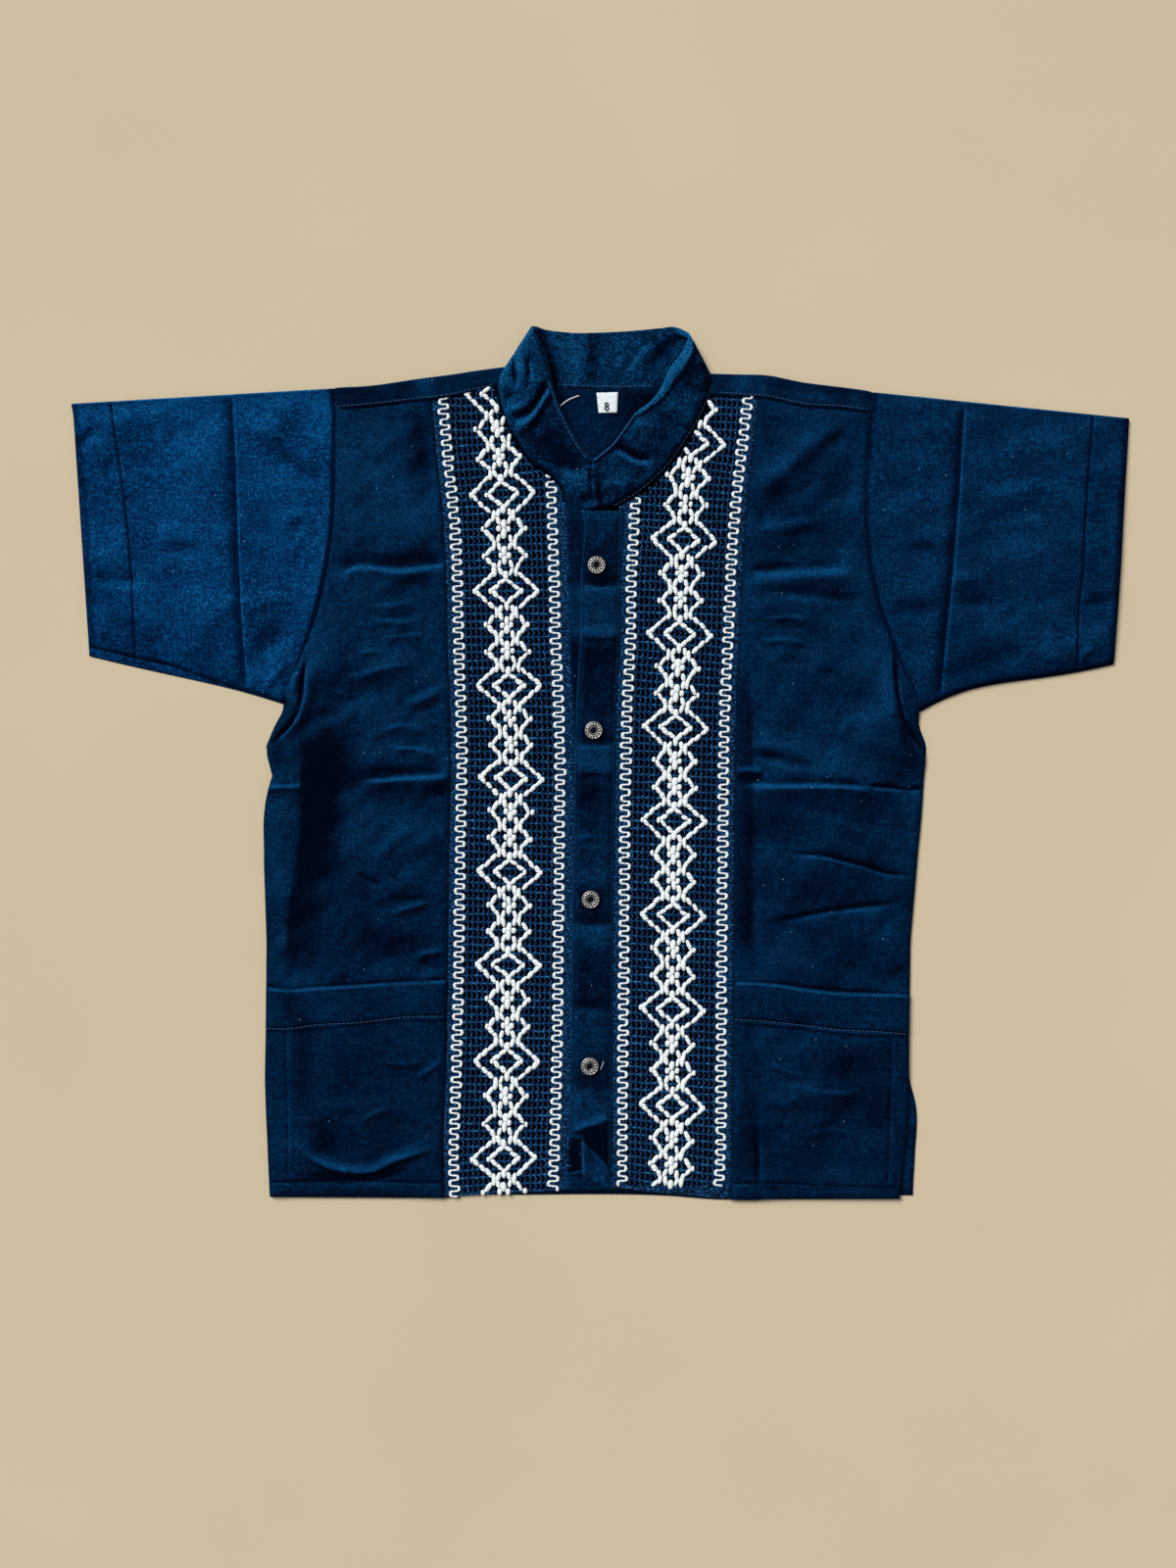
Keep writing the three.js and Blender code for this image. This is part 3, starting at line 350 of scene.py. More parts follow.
# Cotton manta: plain woven from uneven yarn, piece dyed and washed. The eye sees a dull deep blue with
# slubs along both threads, a short pale nap, a little lint, and paler cloth where an edge has rubbed.
cotton = {
    # One navy cloth for every piece: the sleeves (the right one most) and the collar get paler colours than
    # the body, and the placket deeper ones, as painted light and shade for how the light falls on each
    "body": {"deep": "#000718", "pale": "#012246", "rubbed": "#10588c", "grain": 0.6},
    "sleeveRight": {"deep": "#001430", "pale": "#01366c", "rubbed": "#1576b0", "grain": 1},
    "sleeveLeft": {"deep": "#000c22", "pale": "#01254c", "rubbed": "#126094", "grain": 0.75},
    "collar": {"deep": "#00081a", "pale": "#01264c", "rubbed": "#15659b", "grain": 1.15},
    "placket": {"deep": "#000616", "pale": "#011a3a", "rubbed": "#0f5488", "grain": 0.7},
    # Sizes in the cloth: yarn spacing, slubs, wash patches, nap, tufts of fluff and space between lint
    "yarn": 0.85, "slubWidth": 1.4, "slubLength": 14, "mottle": 34, "napAndTiltShade": 1.5, "fluff": 4.5, "lintApart": 11,
    # How much of each goes into the colour, and where the colour's range lies
    "slubShare": 0.35, "napShare": 2.5, "grainLow": 2.0, "grainHigh": 3.05, "grainMiddle": 0.57,
    "fuzzFrom": 0.2, "fuzzTo": 2.0,
    "lint": "#7fa6c8", "lintSize": 0.042, "lintChance": 0.45, "lintShow": 0.55,
    "bump": 0.9, "bumpStrength": 0.75, "weaveRelief": 0.12, "napRelief": 1.1,
    "roughness": 0.95, "ior": 1.5, "specular": 0.02, "sheen": 0.03, "sheenRoughness": 0.5,
    "sheenTint": "#145a9e",
}


def cottonManta(name, shades, grainTurn=0.0):
    material, tree = startMaterial(name)
    plan = add(tree, "TexCoord")["Object"]
    place = add(tree, "Mapping", {"Vector": plan, "Rotation": (0, 0, math.radians(grainTurn))})[0]
    wide, long = cotton["slubWidth"], cotton["slubLength"]
    warp = grains(tree, place, (wide, long, 8))
    weft = grains(tree, place, (long, wide, 8))
    mottle = grains(tree, place, (cotton["mottle"],) * 3, 4.0)
    napAndTiltShade = grains(tree, place, (cotton["napAndTiltShade"],) * 3, 3.0, 0.7)
    fluff = grains(tree, place, (cotton["fluff"], 0.7 * cotton["fluff"], cotton["fluff"]), 3.0, 0.6)
    slubs = add(tree, "Math", {0: warp, 1: weft}, operation="ADD")[0]
    both = add(tree, "Math", {0: slubs, 1: cotton["slubShare"], 2: mottle}, operation="MULTIPLY_ADD")[0]
    short = add(tree, "Math", {0: napAndTiltShade, 1: cotton["napShare"], 2: fluff}, operation="MULTIPLY_ADD")[0]
    every = add(tree, "Math", {0: both, 1: short}, operation="ADD")[0]
    middle, strength = cotton["grainMiddle"], shades["grain"]
    grain = add(tree, "MapRange", {
        "Value": every, "From Min": cotton["grainLow"], "From Max": cotton["grainHigh"],
        "To Min": middle * (1 - strength), "To Max": middle + (1 - middle) * strength})[0]
    # The 'tone' attribute is painted shade and light: it moves the colour between deep and pale, and where it
    # is painted pale it brings in more of the pale rubbed colour
    pressedFoldAndPaintedShade = add(tree, "Attribute", attribute_name="tone")["Fac"]
    grainAndPaintedShade = add(tree, "Math", {0: grain, 1: pressedFoldAndPaintedShade}, operation="ADD")[0]
    tone = add(tree, "Math", {0: grainAndPaintedShade, 1: 0.0}, operation="ADD", use_clamp=True)[0]
    fuzzAndPaintedLight = add(tree, "MapRange", {"Value": grainAndPaintedShade, "From Min": cotton["fuzzFrom"],
                                  "From Max": cotton["fuzzTo"]}, interpolation_type="SMOOTHSTEP")[0]
    dyed = add(tree, "Mix", {"Factor": tone, "A": linear(shades["deep"]), "B": linear(shades["pale"])},
               data_type="RGBA")
    rub = add(tree, "Attribute", attribute_name="rubbed")["Fac"]
    fibres = add(tree, "MapRange", {"Value": napAndTiltShade, "From Min": 0.36, "From Max": 0.66,
                                    "To Min": 0.63 - 0.53 * strength, "To Max": 0.63 + 0.52 * strength})[0]
    wearFuzzAndPaintedLight = add(tree, "Math", {0: rub, 1: fuzzAndPaintedLight}, operation="ADD")[0]
    wearFuzzAndPaintedLightHere = add(tree, "Math", {0: wearFuzzAndPaintedLight, 1: fibres}, operation="MULTIPLY", use_clamp=True)[0]
    worn = add(tree, "Mix", {"Factor": wearFuzzAndPaintedLightHere, "A": dyed[2], "B": linear(shades["rubbed"])},
               data_type="RGBA")
    cell = add(tree, "Mapping", {"Vector": place, "Scale": (1 / (cotton["lintApart"] * mm),) * 3})[0]
    lintCells = add(tree, "TexVoronoi", {"Vector": cell, "Scale": 1.0})
    fleck = add(tree, "Math", {0: lintCells["Distance"], 1: cotton["lintSize"]}, operation="LESS_THAN")[0]
    chance = add(tree, "SeparateColor", {"Color": lintCells["Color"]})[0]
    some = add(tree, "Math", {0: chance, 1: cotton["lintChance"]}, operation="GREATER_THAN")[0]
    lint = add(tree, "Math", {0: fleck, 1: some}, operation="MULTIPLY")[0]
    lintPale = add(tree, "Math", {0: lint, 1: cotton["lintShow"]}, operation="MULTIPLY")[0]
    colour = add(tree, "Mix", {"Factor": lintPale, "A": worn[2], "B": linear(cotton["lint"])},
                 data_type="RGBA")
    axes = add(tree, "SeparateXYZ", {"Vector": place})
    pitch = 2 * math.pi / (cotton["yarn"] * mm)
    threads = []
    for axis in (0, 1):
        wave = add(tree, "Math", {0: axes[axis], 1: pitch}, operation="MULTIPLY")[0]
        threads.append(add(tree, "Math", {0: wave}, operation="SINE")[0])
    weave = add(tree, "Math", {0: threads[0], 1: threads[1]}, operation="MULTIPLY")[0]
    woven = add(tree, "Math", {0: weave, 1: cotton["weaveRelief"], 2: slubs}, operation="MULTIPLY_ADD")[0]
    soft = add(tree, "Math", {0: napAndTiltShade, 1: cotton["napRelief"], 2: woven}, operation="MULTIPLY_ADD")[0]
    relief = add(tree, "Math", {0: soft, 1: fluff}, operation="ADD")[0]
    bump = add(tree, "Bump", {"Height": relief, "Strength": cotton["bumpStrength"],
                              "Distance": cotton["bump"] * mm})[0]
    finishMaterial(tree, {
        "Base Color": colour[2], "Roughness": cotton["roughness"], "IOR": cotton["ior"],
        "Specular IOR Level": cotton["specular"], "Sheen Weight": cotton["sheen"],
        "Sheen Roughness": cotton["sheenRoughness"],
        "Sheen Tint": linear(cotton["sheenTint"]), "Normal": bump,
    })
    return material


# Yarn of several plies: the twist shows as slanting grooves along the "yarn" map. Soft cotton, slightly
# hairy, so it is dull with shaded grooves; the ground's yarn is navy flecked with undyed fibre.
yarns = {
    "brocade": {"high": "#fbffff", "low": "#ecf6f9", "twist": 2.6, "flecks": 0, "bump": 0.25, "sheen": 0.25},
    "ground": {"high": "#0b4176", "low": "#010c1e", "twist": 1.7, "flecks": 0.95, "bump": 0.3, "sheen": 0.05},
    "sewing": {"high": "#072344", "low": "#010a18", "twist": 0.9, "flecks": 0, "bump": 0.1, "sheen": 0.0},
    # A paler copy of the sewing thread, used for some of the rows
    "worn": {"high": "#3f729f", "low": "#0c2c4e", "twist": 0.9, "flecks": 0, "bump": 0.1, "sheen": 0.1},
    "loose": {"high": "#f6f8f8", "low": "#c9d1d4", "twist": 1.2, "flecks": 0, "bump": 0.1, "sheen": 0.1},
}


# Undyed fibres in the navy yarn: where the grain shows them, and their colour
flecks = {"from": 0.54, "to": 0.64, "colour": "#2f86c4"}


def plyYarn(name, look):
    material, tree = startMaterial(name)
    along = add(tree, "SeparateXYZ", {"Vector": add(tree, "UVMap", uv_map="yarn")[0]})
    turns = add(tree, "Math", {0: along[0], 1: 1 / look["twist"]}, operation="MULTIPLY")[0]
    around = add(tree, "Math", {0: along[1], 1: 2.0}, operation="MULTIPLY")[0]
    phase = add(tree, "Math", {0: turns, 1: around}, operation="ADD")[0]
    angle = add(tree, "Math", {0: phase, 1: 2 * math.pi}, operation="MULTIPLY")[0]
    twist = add(tree, "Math", {0: angle}, operation="SINE")[0]
    plan = add(tree, "TexCoord")["Object"]
    hair = grains(tree, plan, (0.7, 0.7, 0.7), 3.0, 0.7)
    patch = grains(tree, plan, (1.9, 1.5, 1.6), 3.0, 0.7)
    relief = add(tree, "Math", {0: twist, 1: hair}, operation="ADD")[0]
    tone = add(tree, "MapRange", {"Value": relief, "From Min": -0.5, "From Max": 1.0})[0]
    base = add(tree, "Mix", {"Factor": tone, "A": linear(look["low"]), "B": linear(look["high"])},
               data_type="RGBA")
    fleck = add(tree, "MapRange", {"Value": patch, "From Min": flecks["from"], "From Max": flecks["to"],
                                   "To Max": look["flecks"]})[0]
    colour = add(tree, "Mix", {"Factor": fleck, "A": base[2], "B": linear(flecks["colour"])},
                 data_type="RGBA")
    bump = add(tree, "Bump", {"Height": relief, "Strength": 0.6, "Distance": look["bump"] * mm})[0]
    finishMaterial(tree, {
        "Base Color": colour[2], "Roughness": 0.9, "IOR": 1.5, "Specular IOR Level": 0.06,
        "Sheen Weight": look["sheen"], "Sheen Roughness": 0.5, "Normal": bump,
    })
    return material


# Selvage of the loom band: the ground's flecked yarn beaten into solid cloth
def bandSelvage(name):
    material, tree = startMaterial(name)
    plan = add(tree, "TexCoord")["Object"]
    speck = grains(tree, plan, (1.7, 1.3, 1.3), 3.0, 0.75)
    rows = grains(tree, plan, (6.0, 1.2, 3.0), 2.0)
    tone = add(tree, "MapRange", {"Value": speck, "From Min": 0.4, "From Max": 0.62})[0]
    base = add(tree, "Mix", {"Factor": tone, "A": linear("#010a1a"), "B": linear("#062c56")},
               data_type="RGBA")
    fleck = add(tree, "MapRange", {"Value": speck, "From Min": flecks["from"], "From Max": flecks["to"],
                                   "To Max": 0.62})[0]
    colour = add(tree, "Mix", {"Factor": fleck, "A": base[2], "B": linear("#2f88cc")}, data_type="RGBA")
    relief = add(tree, "Math", {0: speck, 1: rows}, operation="ADD")[0]
    bump = add(tree, "Bump", {"Height": relief, "Strength": 0.8, "Distance": 0.5 * mm})[0]
    finishMaterial(tree, {
        "Base Color": colour[2], "Roughness": 0.92, "IOR": 1.5, "Specular IOR Level": 0.04,
        "Sheen Weight": 0.05, "Sheen Roughness": 0.5, "Normal": bump,
    })
    return material


# Finishes of two colours in an uneven grain, with the sizes of the grain and the grain values that they span
grained = {
    # White satin tape, woven in polyester: fine cross ribs and a soft gloss
    "satinTape": {"size": (5.0, 0.35, 2.0), "detail": 2.0, "span": (0.35, 0.65),
                  "colours": ("#dcecf2", "#f2fafd"), "bump": 0.12,
                  "shader": {"Roughness": 0.42, "IOR": 1.5, "Sheen Weight": 0.2}},
    # Printed ink on the tape: a dull near black, a little worn
    "printedInk": {"size": (0.6, 0.6, 0.6), "detail": 2.0, "span": (0, 1), "colours": ("#01040a", "#06121e"),
                   "shader": {"Roughness": 0.6, "IOR": 1.5}},
    # Pale matt floor, almost even in colour
    "paleFloor": {"size": (300, 300, 300), "detail": 3.0, "span": (0, 1), "colours": ("#d0bfa0", "#d8c8ab"),
                  "shader": {"Roughness": 0.85, "IOR": 1.5, "Specular IOR Level": 0.2}},
}


def grainedFinish(name):
    look = grained[name]
    material, tree = startMaterial(name)
    grain = grains(tree, add(tree, "TexCoord")["Object"], look["size"], look["detail"])
    least, most = look["span"]
    tone = add(tree, "MapRange", {"Value": grain, "From Min": least, "From Max": most})[0]
    dark, light = (linear(colour) for colour in look["colours"])
    inputs = {"Base Color": add(tree, "Mix", {"Factor": tone, "A": dark, "B": light}, data_type="RGBA")[2]}
    if "bump" in look:
        inputs["Normal"] = add(tree, "Bump", {"Height": grain, "Strength": 0.4,
                                              "Distance": look["bump"] * mm})[0]
    finishMaterial(tree, {**inputs, **look["shader"]})
    return material


# Zinc alloy, die cast and plated, then blackened and rubbed back: bright on the relief, dark in the recesses,
# and dark on its outer wall and underside as painted shade
def castButtonMetal(name):
    material, tree = startMaterial(name)
    plan = add(tree, "TexCoord")["Object"]
    deep = add(tree, "Attribute", attribute_name="patinaAndRimShade")["Fac"]
    grain = grains(tree, plan, (0.5, 0.5, 0.5), 3.0, 0.7)
    patinaShadeAndGrain = add(tree, "Math", {0: deep, 1: grain}, operation="ADD")[0]
    dark = add(tree, "MapRange", {"Value": patinaShadeAndGrain, "From Min": 0.5, "From Max": 0.9})[0]
    colour = add(tree, "Mix", {"Factor": dark, "A": linear("#d2cdc9"), "B": linear("#100e10")},
                 data_type="RGBA")
    rough = add(tree, "MapRange", {"Value": dark, "To Min": 0.34, "To Max": 0.7})[0]
    bump = add(tree, "Bump", {"Height": grain, "Strength": 0.3, "Distance": 0.08 * mm})[0]
    finishMaterial(tree, {"Base Color": colour[2], "Metallic": 0.75, "Roughness": rough, "Normal": bump})
    return material


materials = {
    # The sleeves', collar's and placket's cloth are lit and shaded copies of the body's cloth: painted light
    # and shade
    "body": cottonManta("cottonMantaBody", cotton["body"]),
    "sleeveRight": cottonManta("cottonMantaSleeveRightPaintedLight", cotton["sleeveRight"], 4),
    "sleeveLeft": cottonManta("cottonMantaSleeveLeftPaintedLight", cotton["sleeveLeft"], -6),
    "collar": cottonManta("cottonMantaCollarPaintedLight", cotton["collar"], 20),
    "placket": cottonManta("cottonMantaPlacketPaintedShade", cotton["placket"]),
    "brocade": plyYarn("whiteCottonYarn", yarns["brocade"]),
    "ground": plyYarn("fleckedNavyYarn", yarns["ground"]),
    "sewing": plyYarn("navySewingThread", yarns["sewing"]),
    "worn": plyYarn("paleSewingThread", yarns["worn"]),
    "loose": plyYarn("looseWhiteThread", yarns["loose"]),
    "selvage": bandSelvage("fleckedSelvage"),
    "tape": grainedFinish("satinTape"),
    "ink": grainedFinish("printedInk"),
    "button": castButtonMetal("castButtonMetal"),
    "floor": grainedFinish("paleFloor"),
}
print("materials ready")


# Making meshes
# A piece from parts, each (points, faces, values by attribute name, yarn map by face corner)
def addPiece(name, parts, material, node=None):
    points, faces, maps, values = [], [], [], {}
    start = 0
    for part in parts:
        count = len(part["points"])
        points.append(part["points"])
        faces += [[i + start for i in face] for face in part["faces"]]
        maps.append(part.get("map", np.zeros((sum(len(f) for f in part["faces"]), 2))))
        for key in ("rubbed", "patinaAndRimShade", "tone"):
            values.setdefault(key, []).append(part.get(key, np.zeros(count)))
        start += count
    mesh = bpy.data.meshes.new(name)
    mesh.from_pydata((np.vstack(points) * mm).tolist(), [], faces)
    mesh.uv_layers.new(name="yarn").data.foreach_set("uv", np.vstack(maps).astype(np.float32).ravel())
    for key, arrays in values.items():
        whole = np.concatenate(arrays).astype(np.float32)
        if whole.any():
            mesh.attributes.new(key, "FLOAT", "POINT").data.foreach_set("value", whole)
    flat = np.concatenate([part.get("flat", np.zeros(len(part["faces"]), bool)) for part in parts])
    mesh.polygons.foreach_set("use_smooth", ~flat)
    mesh.materials.append(materials[material])
    mesh.update()
    piece = bpy.data.objects.new(name, mesh)
    bpy.context.scene.collection.objects.link(piece)
    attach(piece, "root")
    if node:
        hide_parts(node)
    return piece


# Close points beside narrow creases
fineMesh = {"step": 1.7, "clear": 4.2, "beside": (-3.4, -2.4, -1.5, -0.75, 0, 0.75, 1.5, 2.4, 3.4)}


# A sheet of cloth: an upper side and an under side over the same plan, joined round the rim. Its plan is
# the inside of one outline, or what two outlines share.
def cutSheet(loop, spacing, topHeight, thick, within=None, bottomHeight=None, fine=(), tone=None,
             worn=0.12, paintedEdgeShade=-0.3):
    loops = [loop] if within is None else [loop, within]
    low = np.max([outline.min(0) for outline in loops], axis=0)
    high = np.min([outline.max(0) for outline in loops], axis=0)
    rows = np.arange(low[1], high[1], spacing * math.sqrt(3) / 2)
    inner = []
    for i, y in enumerate(rows):
        x = np.arange(low[0] + spacing / 2 * (i % 2), high[0], spacing)
        inner.append(np.column_stack([x, np.full(len(x), y)]))
    inner = np.vstack(inner)
    for path in fine:
        line = curveThrough(path, fineMesh["step"])[:, :2]
        inner = inner[offLine(line, inner[:, 0], inner[:, 1])[0] > fineMesh["clear"]]
        run = np.gradient(line, axis=0)
        across = np.column_stack([-run[:, 1], run[:, 0]]) / np.linalg.norm(run, axis=1, keepdims=True)
        close = np.vstack([line + across * off for off in fineMesh["beside"]])
        inner = np.vstack([inner, close])
    for outline in loops:
        inner = inner[inLoop(outline, inner[:, 0], inner[:, 1])]
        inner = inner[edgeDistance(outline, inner[:, 0], inner[:, 1]) > 0.55 * spacing]
    sides, start = [], 0
    for outline in loops:
        count = len(outline)
        sides += [(start + i, start + (i + 1) % count) for i in range(count)]
        start += count
    spots = [Vector(p) for p in np.vstack(loops + [inner])]
    found, _, faces, *_ = delaunay_2d_cdt(spots, sides, [], 0, 1e-4)
    plan, faces = np.array([tuple(p) for p in found]), np.array(faces)
    middle = plan[faces].mean(1)
    for outline in loops:
        inside = inLoop(outline, middle[:, 0], middle[:, 1])
        faces, middle = faces[inside], middle[inside]
    used, faces = np.unique(faces, return_inverse=True)
    plan, faces = plan[used], faces.reshape(-1, 3)
    a, b, c = (plan[faces[:, i]] for i in range(3))
    turned = (b[:, 0] - a[:, 0]) * (c[:, 1] - a[:, 1]) - (b[:, 1] - a[:, 1]) * (c[:, 0] - a[:, 0]) < 0
    faces[turned] = faces[turned][:, ::-1]
    x, y = plan[:, 0], plan[:, 1]
    edge = np.min([edgeDistance(outline, x, y) for outline in loops], axis=0)
    top = topHeight(x, y, edge)
    bottom = top - thick if bottomHeight is None else bottomHeight(x, y, edge)
    sides = {(int(f[k]), int(f[(k + 1) % 3])) for f in faces for k in range(3)}
    rim = [(p, q) for p, q in sides if (q, p) not in sides]
    size = len(plan)
    whole = faces.tolist() + (faces[:, ::-1] + size).tolist() + [[q, p, p + size, q + size] for p, q in rim]
    points = np.vstack([np.column_stack([plan, top]), np.column_stack([plan, bottom])])
    rubbed = np.tile(worn * bell(edge, 1.2), 2)
    flat = np.zeros(len(whole), bool)
    flat[2 * len(faces):] = True
    # Painted light and shade, kept in the 'tone' attribute: paler where the cloth tilts toward the sun and
    # deeper where it tilts away, a dark painted shade round the rim, and the piece's own painted patches
    paintedShade = paintedTiltShade(pointNormals(points[:size], faces)) * smoothRise(edge / 1.5)
    paintedShade += paintedEdgeShade * bell(edge, 1.1)
    paintedShade = np.tile(paintedShade if tone is None else paintedShade + tone(x, y), 2)
    return {"points": points, "faces": whole, "rubbed": rubbed, "flat": flat, "tone": paintedShade}


# A shell over a grid of outer points (stations, profile), its thickness on the inner side
def gridShell(grid, thick, rubbed=None, tone=None):
    along, across = np.gradient(grid, axis=0), np.gradient(grid, axis=1)
    normal = np.cross(along, across)
    normal /= np.maximum(np.linalg.norm(normal, axis=-1, keepdims=True), 1e-9)
    inner = grid + normal * thick
    inner[..., 2] = np.maximum(inner[..., 2], 0.02)
    n, m = grid.shape[:2]
    index = np.arange(n * m).reshape(n, m)
    a, b, c, d = index[:-1, :-1], index[1:, :-1], index[1:, 1:], index[:-1, 1:]
    outerFaces = np.stack([a, d, c, b], -1).reshape(-1, 4)
    innerFaces = outerFaces[:, ::-1] + n * m
    ring = np.concatenate([index[0, :-1], index[:-1, -1], index[-1, :0:-1], index[:0:-1, 0]])
    after = np.roll(ring, -1)
    rim = np.stack([after, ring, ring + n * m, after + n * m], -1)
    faces = np.vstack([outerFaces, innerFaces, rim])
    flat = np.zeros(len(faces), bool)
    flat[-len(rim):] = True
    worn = np.zeros((n, m)) if rubbed is None else rubbed
    # Painted light and shade on the faces that look up: paler where they tilt toward the sun, deeper where
    # they tilt away, with the given painted patches
    paintedShade = paintedTiltShade(-normal.reshape(-1, 3)) * (normal.reshape(-1, 3)[:, 2] < -0.35)
    paintedShade = paintedShade if tone is None else paintedShade + tone(grid[..., 0].ravel(), grid[..., 1].ravel())
    return {"points": np.vstack([grid.reshape(-1, 3), inner.reshape(-1, 3)]), "faces": faces.tolist(),
            "rubbed": np.tile(worn.ravel(), 2), "tone": np.tile(paintedShade.ravel(), 2), "flat": flat}


# Round or flat threads, all with the same number of rings: centres (threads, rings, 3) and half sizes
def threads(centres, halfWidth, halfHeight, sides=6):
    centres = np.asarray(centres, float)
    count, rings = centres.shape[:2]
    halfWidth = np.broadcast_to(halfWidth, (count, rings))
    halfHeight = np.broadcast_to(halfHeight, (count, rings))
    run = np.gradient(centres, axis=1)
    size = np.maximum(np.linalg.norm(run[..., :2], axis=-1), 1e-6)
    across = np.stack([-run[..., 1] / size, run[..., 0] / size, np.zeros_like(size)], -1)
    angle = 2 * math.pi * np.arange(sides) / sides
    points = (centres[:, :, None]
              + across[:, :, None] * (halfWidth[..., None] * np.cos(angle))[..., None]
              + np.array([0, 0, 1.0]) * (halfHeight[..., None] * np.sin(angle))[..., None])
    index = np.arange(count * rings * sides).reshape(count, rings, sides)
    a, b = index[:, :-1], index[:, 1:]
    quads = np.stack([a, b, np.roll(b, -1, axis=2), np.roll(a, -1, axis=2)], -1).reshape(-1, 4)
    steps = np.linalg.norm(np.diff(centres, axis=1), axis=-1)
    reached = np.concatenate([np.zeros((count, 1)), np.cumsum(steps, axis=1)], axis=1)
    u0 = np.broadcast_to(reached[:, :-1, None], a.shape)
    u1 = np.broadcast_to(reached[:, 1:, None], a.shape)
    v0 = np.broadcast_to(np.arange(sides) / sides, a.shape)
    v1 = v0 + 1 / sides
    maps = np.stack([np.stack([u0, v0], -1), np.stack([u1, v0], -1),
                     np.stack([u1, v1], -1), np.stack([u0, v1], -1)], 3).reshape(-1, 2)
    caps = index[:, 0].tolist() + index[:, -1, ::-1].tolist()
    faces = quads[:, ::-1].tolist() + caps
    maps = maps.reshape(-1, 4, 2)[:, ::-1].reshape(-1, 2)
    return {"points": points.reshape(-1, 3), "faces": faces,
            "map": np.vstack([maps, np.zeros((2 * count * sides, 2))])}


# Grains of thread, such as stitches: middle, direction and size of each
beadShares = np.array([-1, -0.86, -0.5, 0, 0.5, 0.86, 1])
beadProfile = np.array([0.2, 0.62, 0.9, 1, 0.9, 0.62, 0.2])


def beads(middles, turns, lengths, widths, heights, bow=0.0, sides=8):
    middles, turns = np.asarray(middles, float), np.asarray(turns, float)
    along = beadShares[None] * np.asarray(lengths, float)[:, None] / 2
    aside = np.broadcast_to(np.asarray(bow, float), (len(turns),))[:, None] * (1 - beadShares**2)[None]
    x = middles[:, :1] + along * np.cos(turns)[:, None] - aside * np.sin(turns)[:, None]
    y = middles[:, 1:2] + along * np.sin(turns)[:, None] + aside * np.cos(turns)[:, None]
    z = np.broadcast_to(middles[:, 2:], x.shape)
    return threads(np.stack([x, y, z], -1), np.asarray(widths)[:, None] / 2 * beadProfile,
                   np.asarray(heights)[:, None] / 2 * beadProfile, sides)


# A row of machine stitches along a line, lying in the groove that they pull into the cloth
stitch = {"length": 2.5, "pitch": 3.1, "width": 0.55, "height": 0.4, "groove": 0.32, "grooveWidth": 1.1}


def stitchRow(path, surface):
    line = curveThrough(path, 0.5)
    reached = reachAlong(line)
    at = np.arange(stitch["pitch"] / 2, reached[-1], stitch["pitch"])
    x, y = np.interp(at, reached, line[:, 0]), np.interp(at, reached, line[:, 1])
    ahead = np.interp(at + 0.5, reached, line[:, 0]), np.interp(at + 0.5, reached, line[:, 1])
    behind = np.interp(at - 0.5, reached, line[:, 0]), np.interp(at - 0.5, reached, line[:, 1])
    turn = np.arctan2(ahead[1] - behind[1], ahead[0] - behind[0])
    z = surface(x, y) + 0.06
    ones = np.ones(len(at))
    return beads(np.column_stack([x, y, z]), turn, stitch["length"] * ones, stitch["width"] * ones,
                 stitch["height"] * ones, sides=4)


def grooves(rows):
    return [ridge(path, -stitch["groove"], stitch["grooveWidth"], fade=0) for path in rows]


# Height of finished parts as seen from above, by ray casts
def surfaceOf(*parts):
    points, faces, start = [], [], 0
    for part in parts:
        points += [Vector(p) for p in part["points"]]
        faces += [[i + start for i in face] for face in part["faces"]]
        start += len(part["points"])
    tree = BVHTree.FromPolygons(points, faces)
    down = Vector((0, 0, -1))

    def height(x, y):
        hits = [tree.ray_cast(Vector((a, b, 60)), down)[0] for a, b in zip(np.ravel(x), np.ravel(y))]
        known = [hit.z for hit in hits if hit is not None]
        spare = float(np.mean(known)) if known else 0.0
        return np.array([spare if hit is None else hit.z for hit in hits]).reshape(np.shape(x))

    return height


# Ground that a line of cloth is raised on, such as the turned-in depth of a hem, to the left of its path
def stepHeight(steps, x, y):
    height = np.zeros(len(x))
    for step in steps:
        line = curveThrough(step["path"], 6)
        for i in range(0, len(x), 4000):
            part = slice(i, i + 4000)
            apart, along, total, side = offLine(line, x[part], y[part])
            height[part] += step["rise"] * smoothRise(0.5 + side * apart / (2 * step["width"]))
    return height


# Height, and where the bands' long edges lie there: right outer, right inner, left inner, left outer
bandLines = [
    (262, -112, -27, 20, 107.5), (235, -111.2, -26.3, 18.8, 104.5), (196, -107.6, -25.3, 17, 99.8),
    (170, -104.6, -24.4, 15.6, 97), (144, -102.7, -23.6, 14.3, 95), (118, -101.6, -22.7, 13, 93.6),
    (80, -101, -22, 12.8, 92.1), (40, -99.5, -20, 10.4, 90), (0, -98.6, -18.8, 9.6, 89.1),
    (-50, -99.7, -19.5, 8.7, 88.6), (-130, -100.8, -20.2, 8.3, 87.8), (-206, -102.3, -21.2, 7.5, 87.5),
    (-258, -104.4, -22.7, 7.2, 87.2), (-296, -103.3, -24.2, 7, 85.2),
]
band = {
    "flat": (0.085, 0.56), "clothArea": 0.036, "meanderInset": 7.5, "selvage": 10.4, "barPitch": 5.1,
    "barWidth": 1.3, "barHeight": 0.9, "shortest": 3, "strandPitch": 3.45, "strandWidth": 1.0,
    "underPlacket": 4.0, "strandHeight": 0.7, "chevron": 0.85, "repeat": 62.5, "low": -300, "high": 264,
}
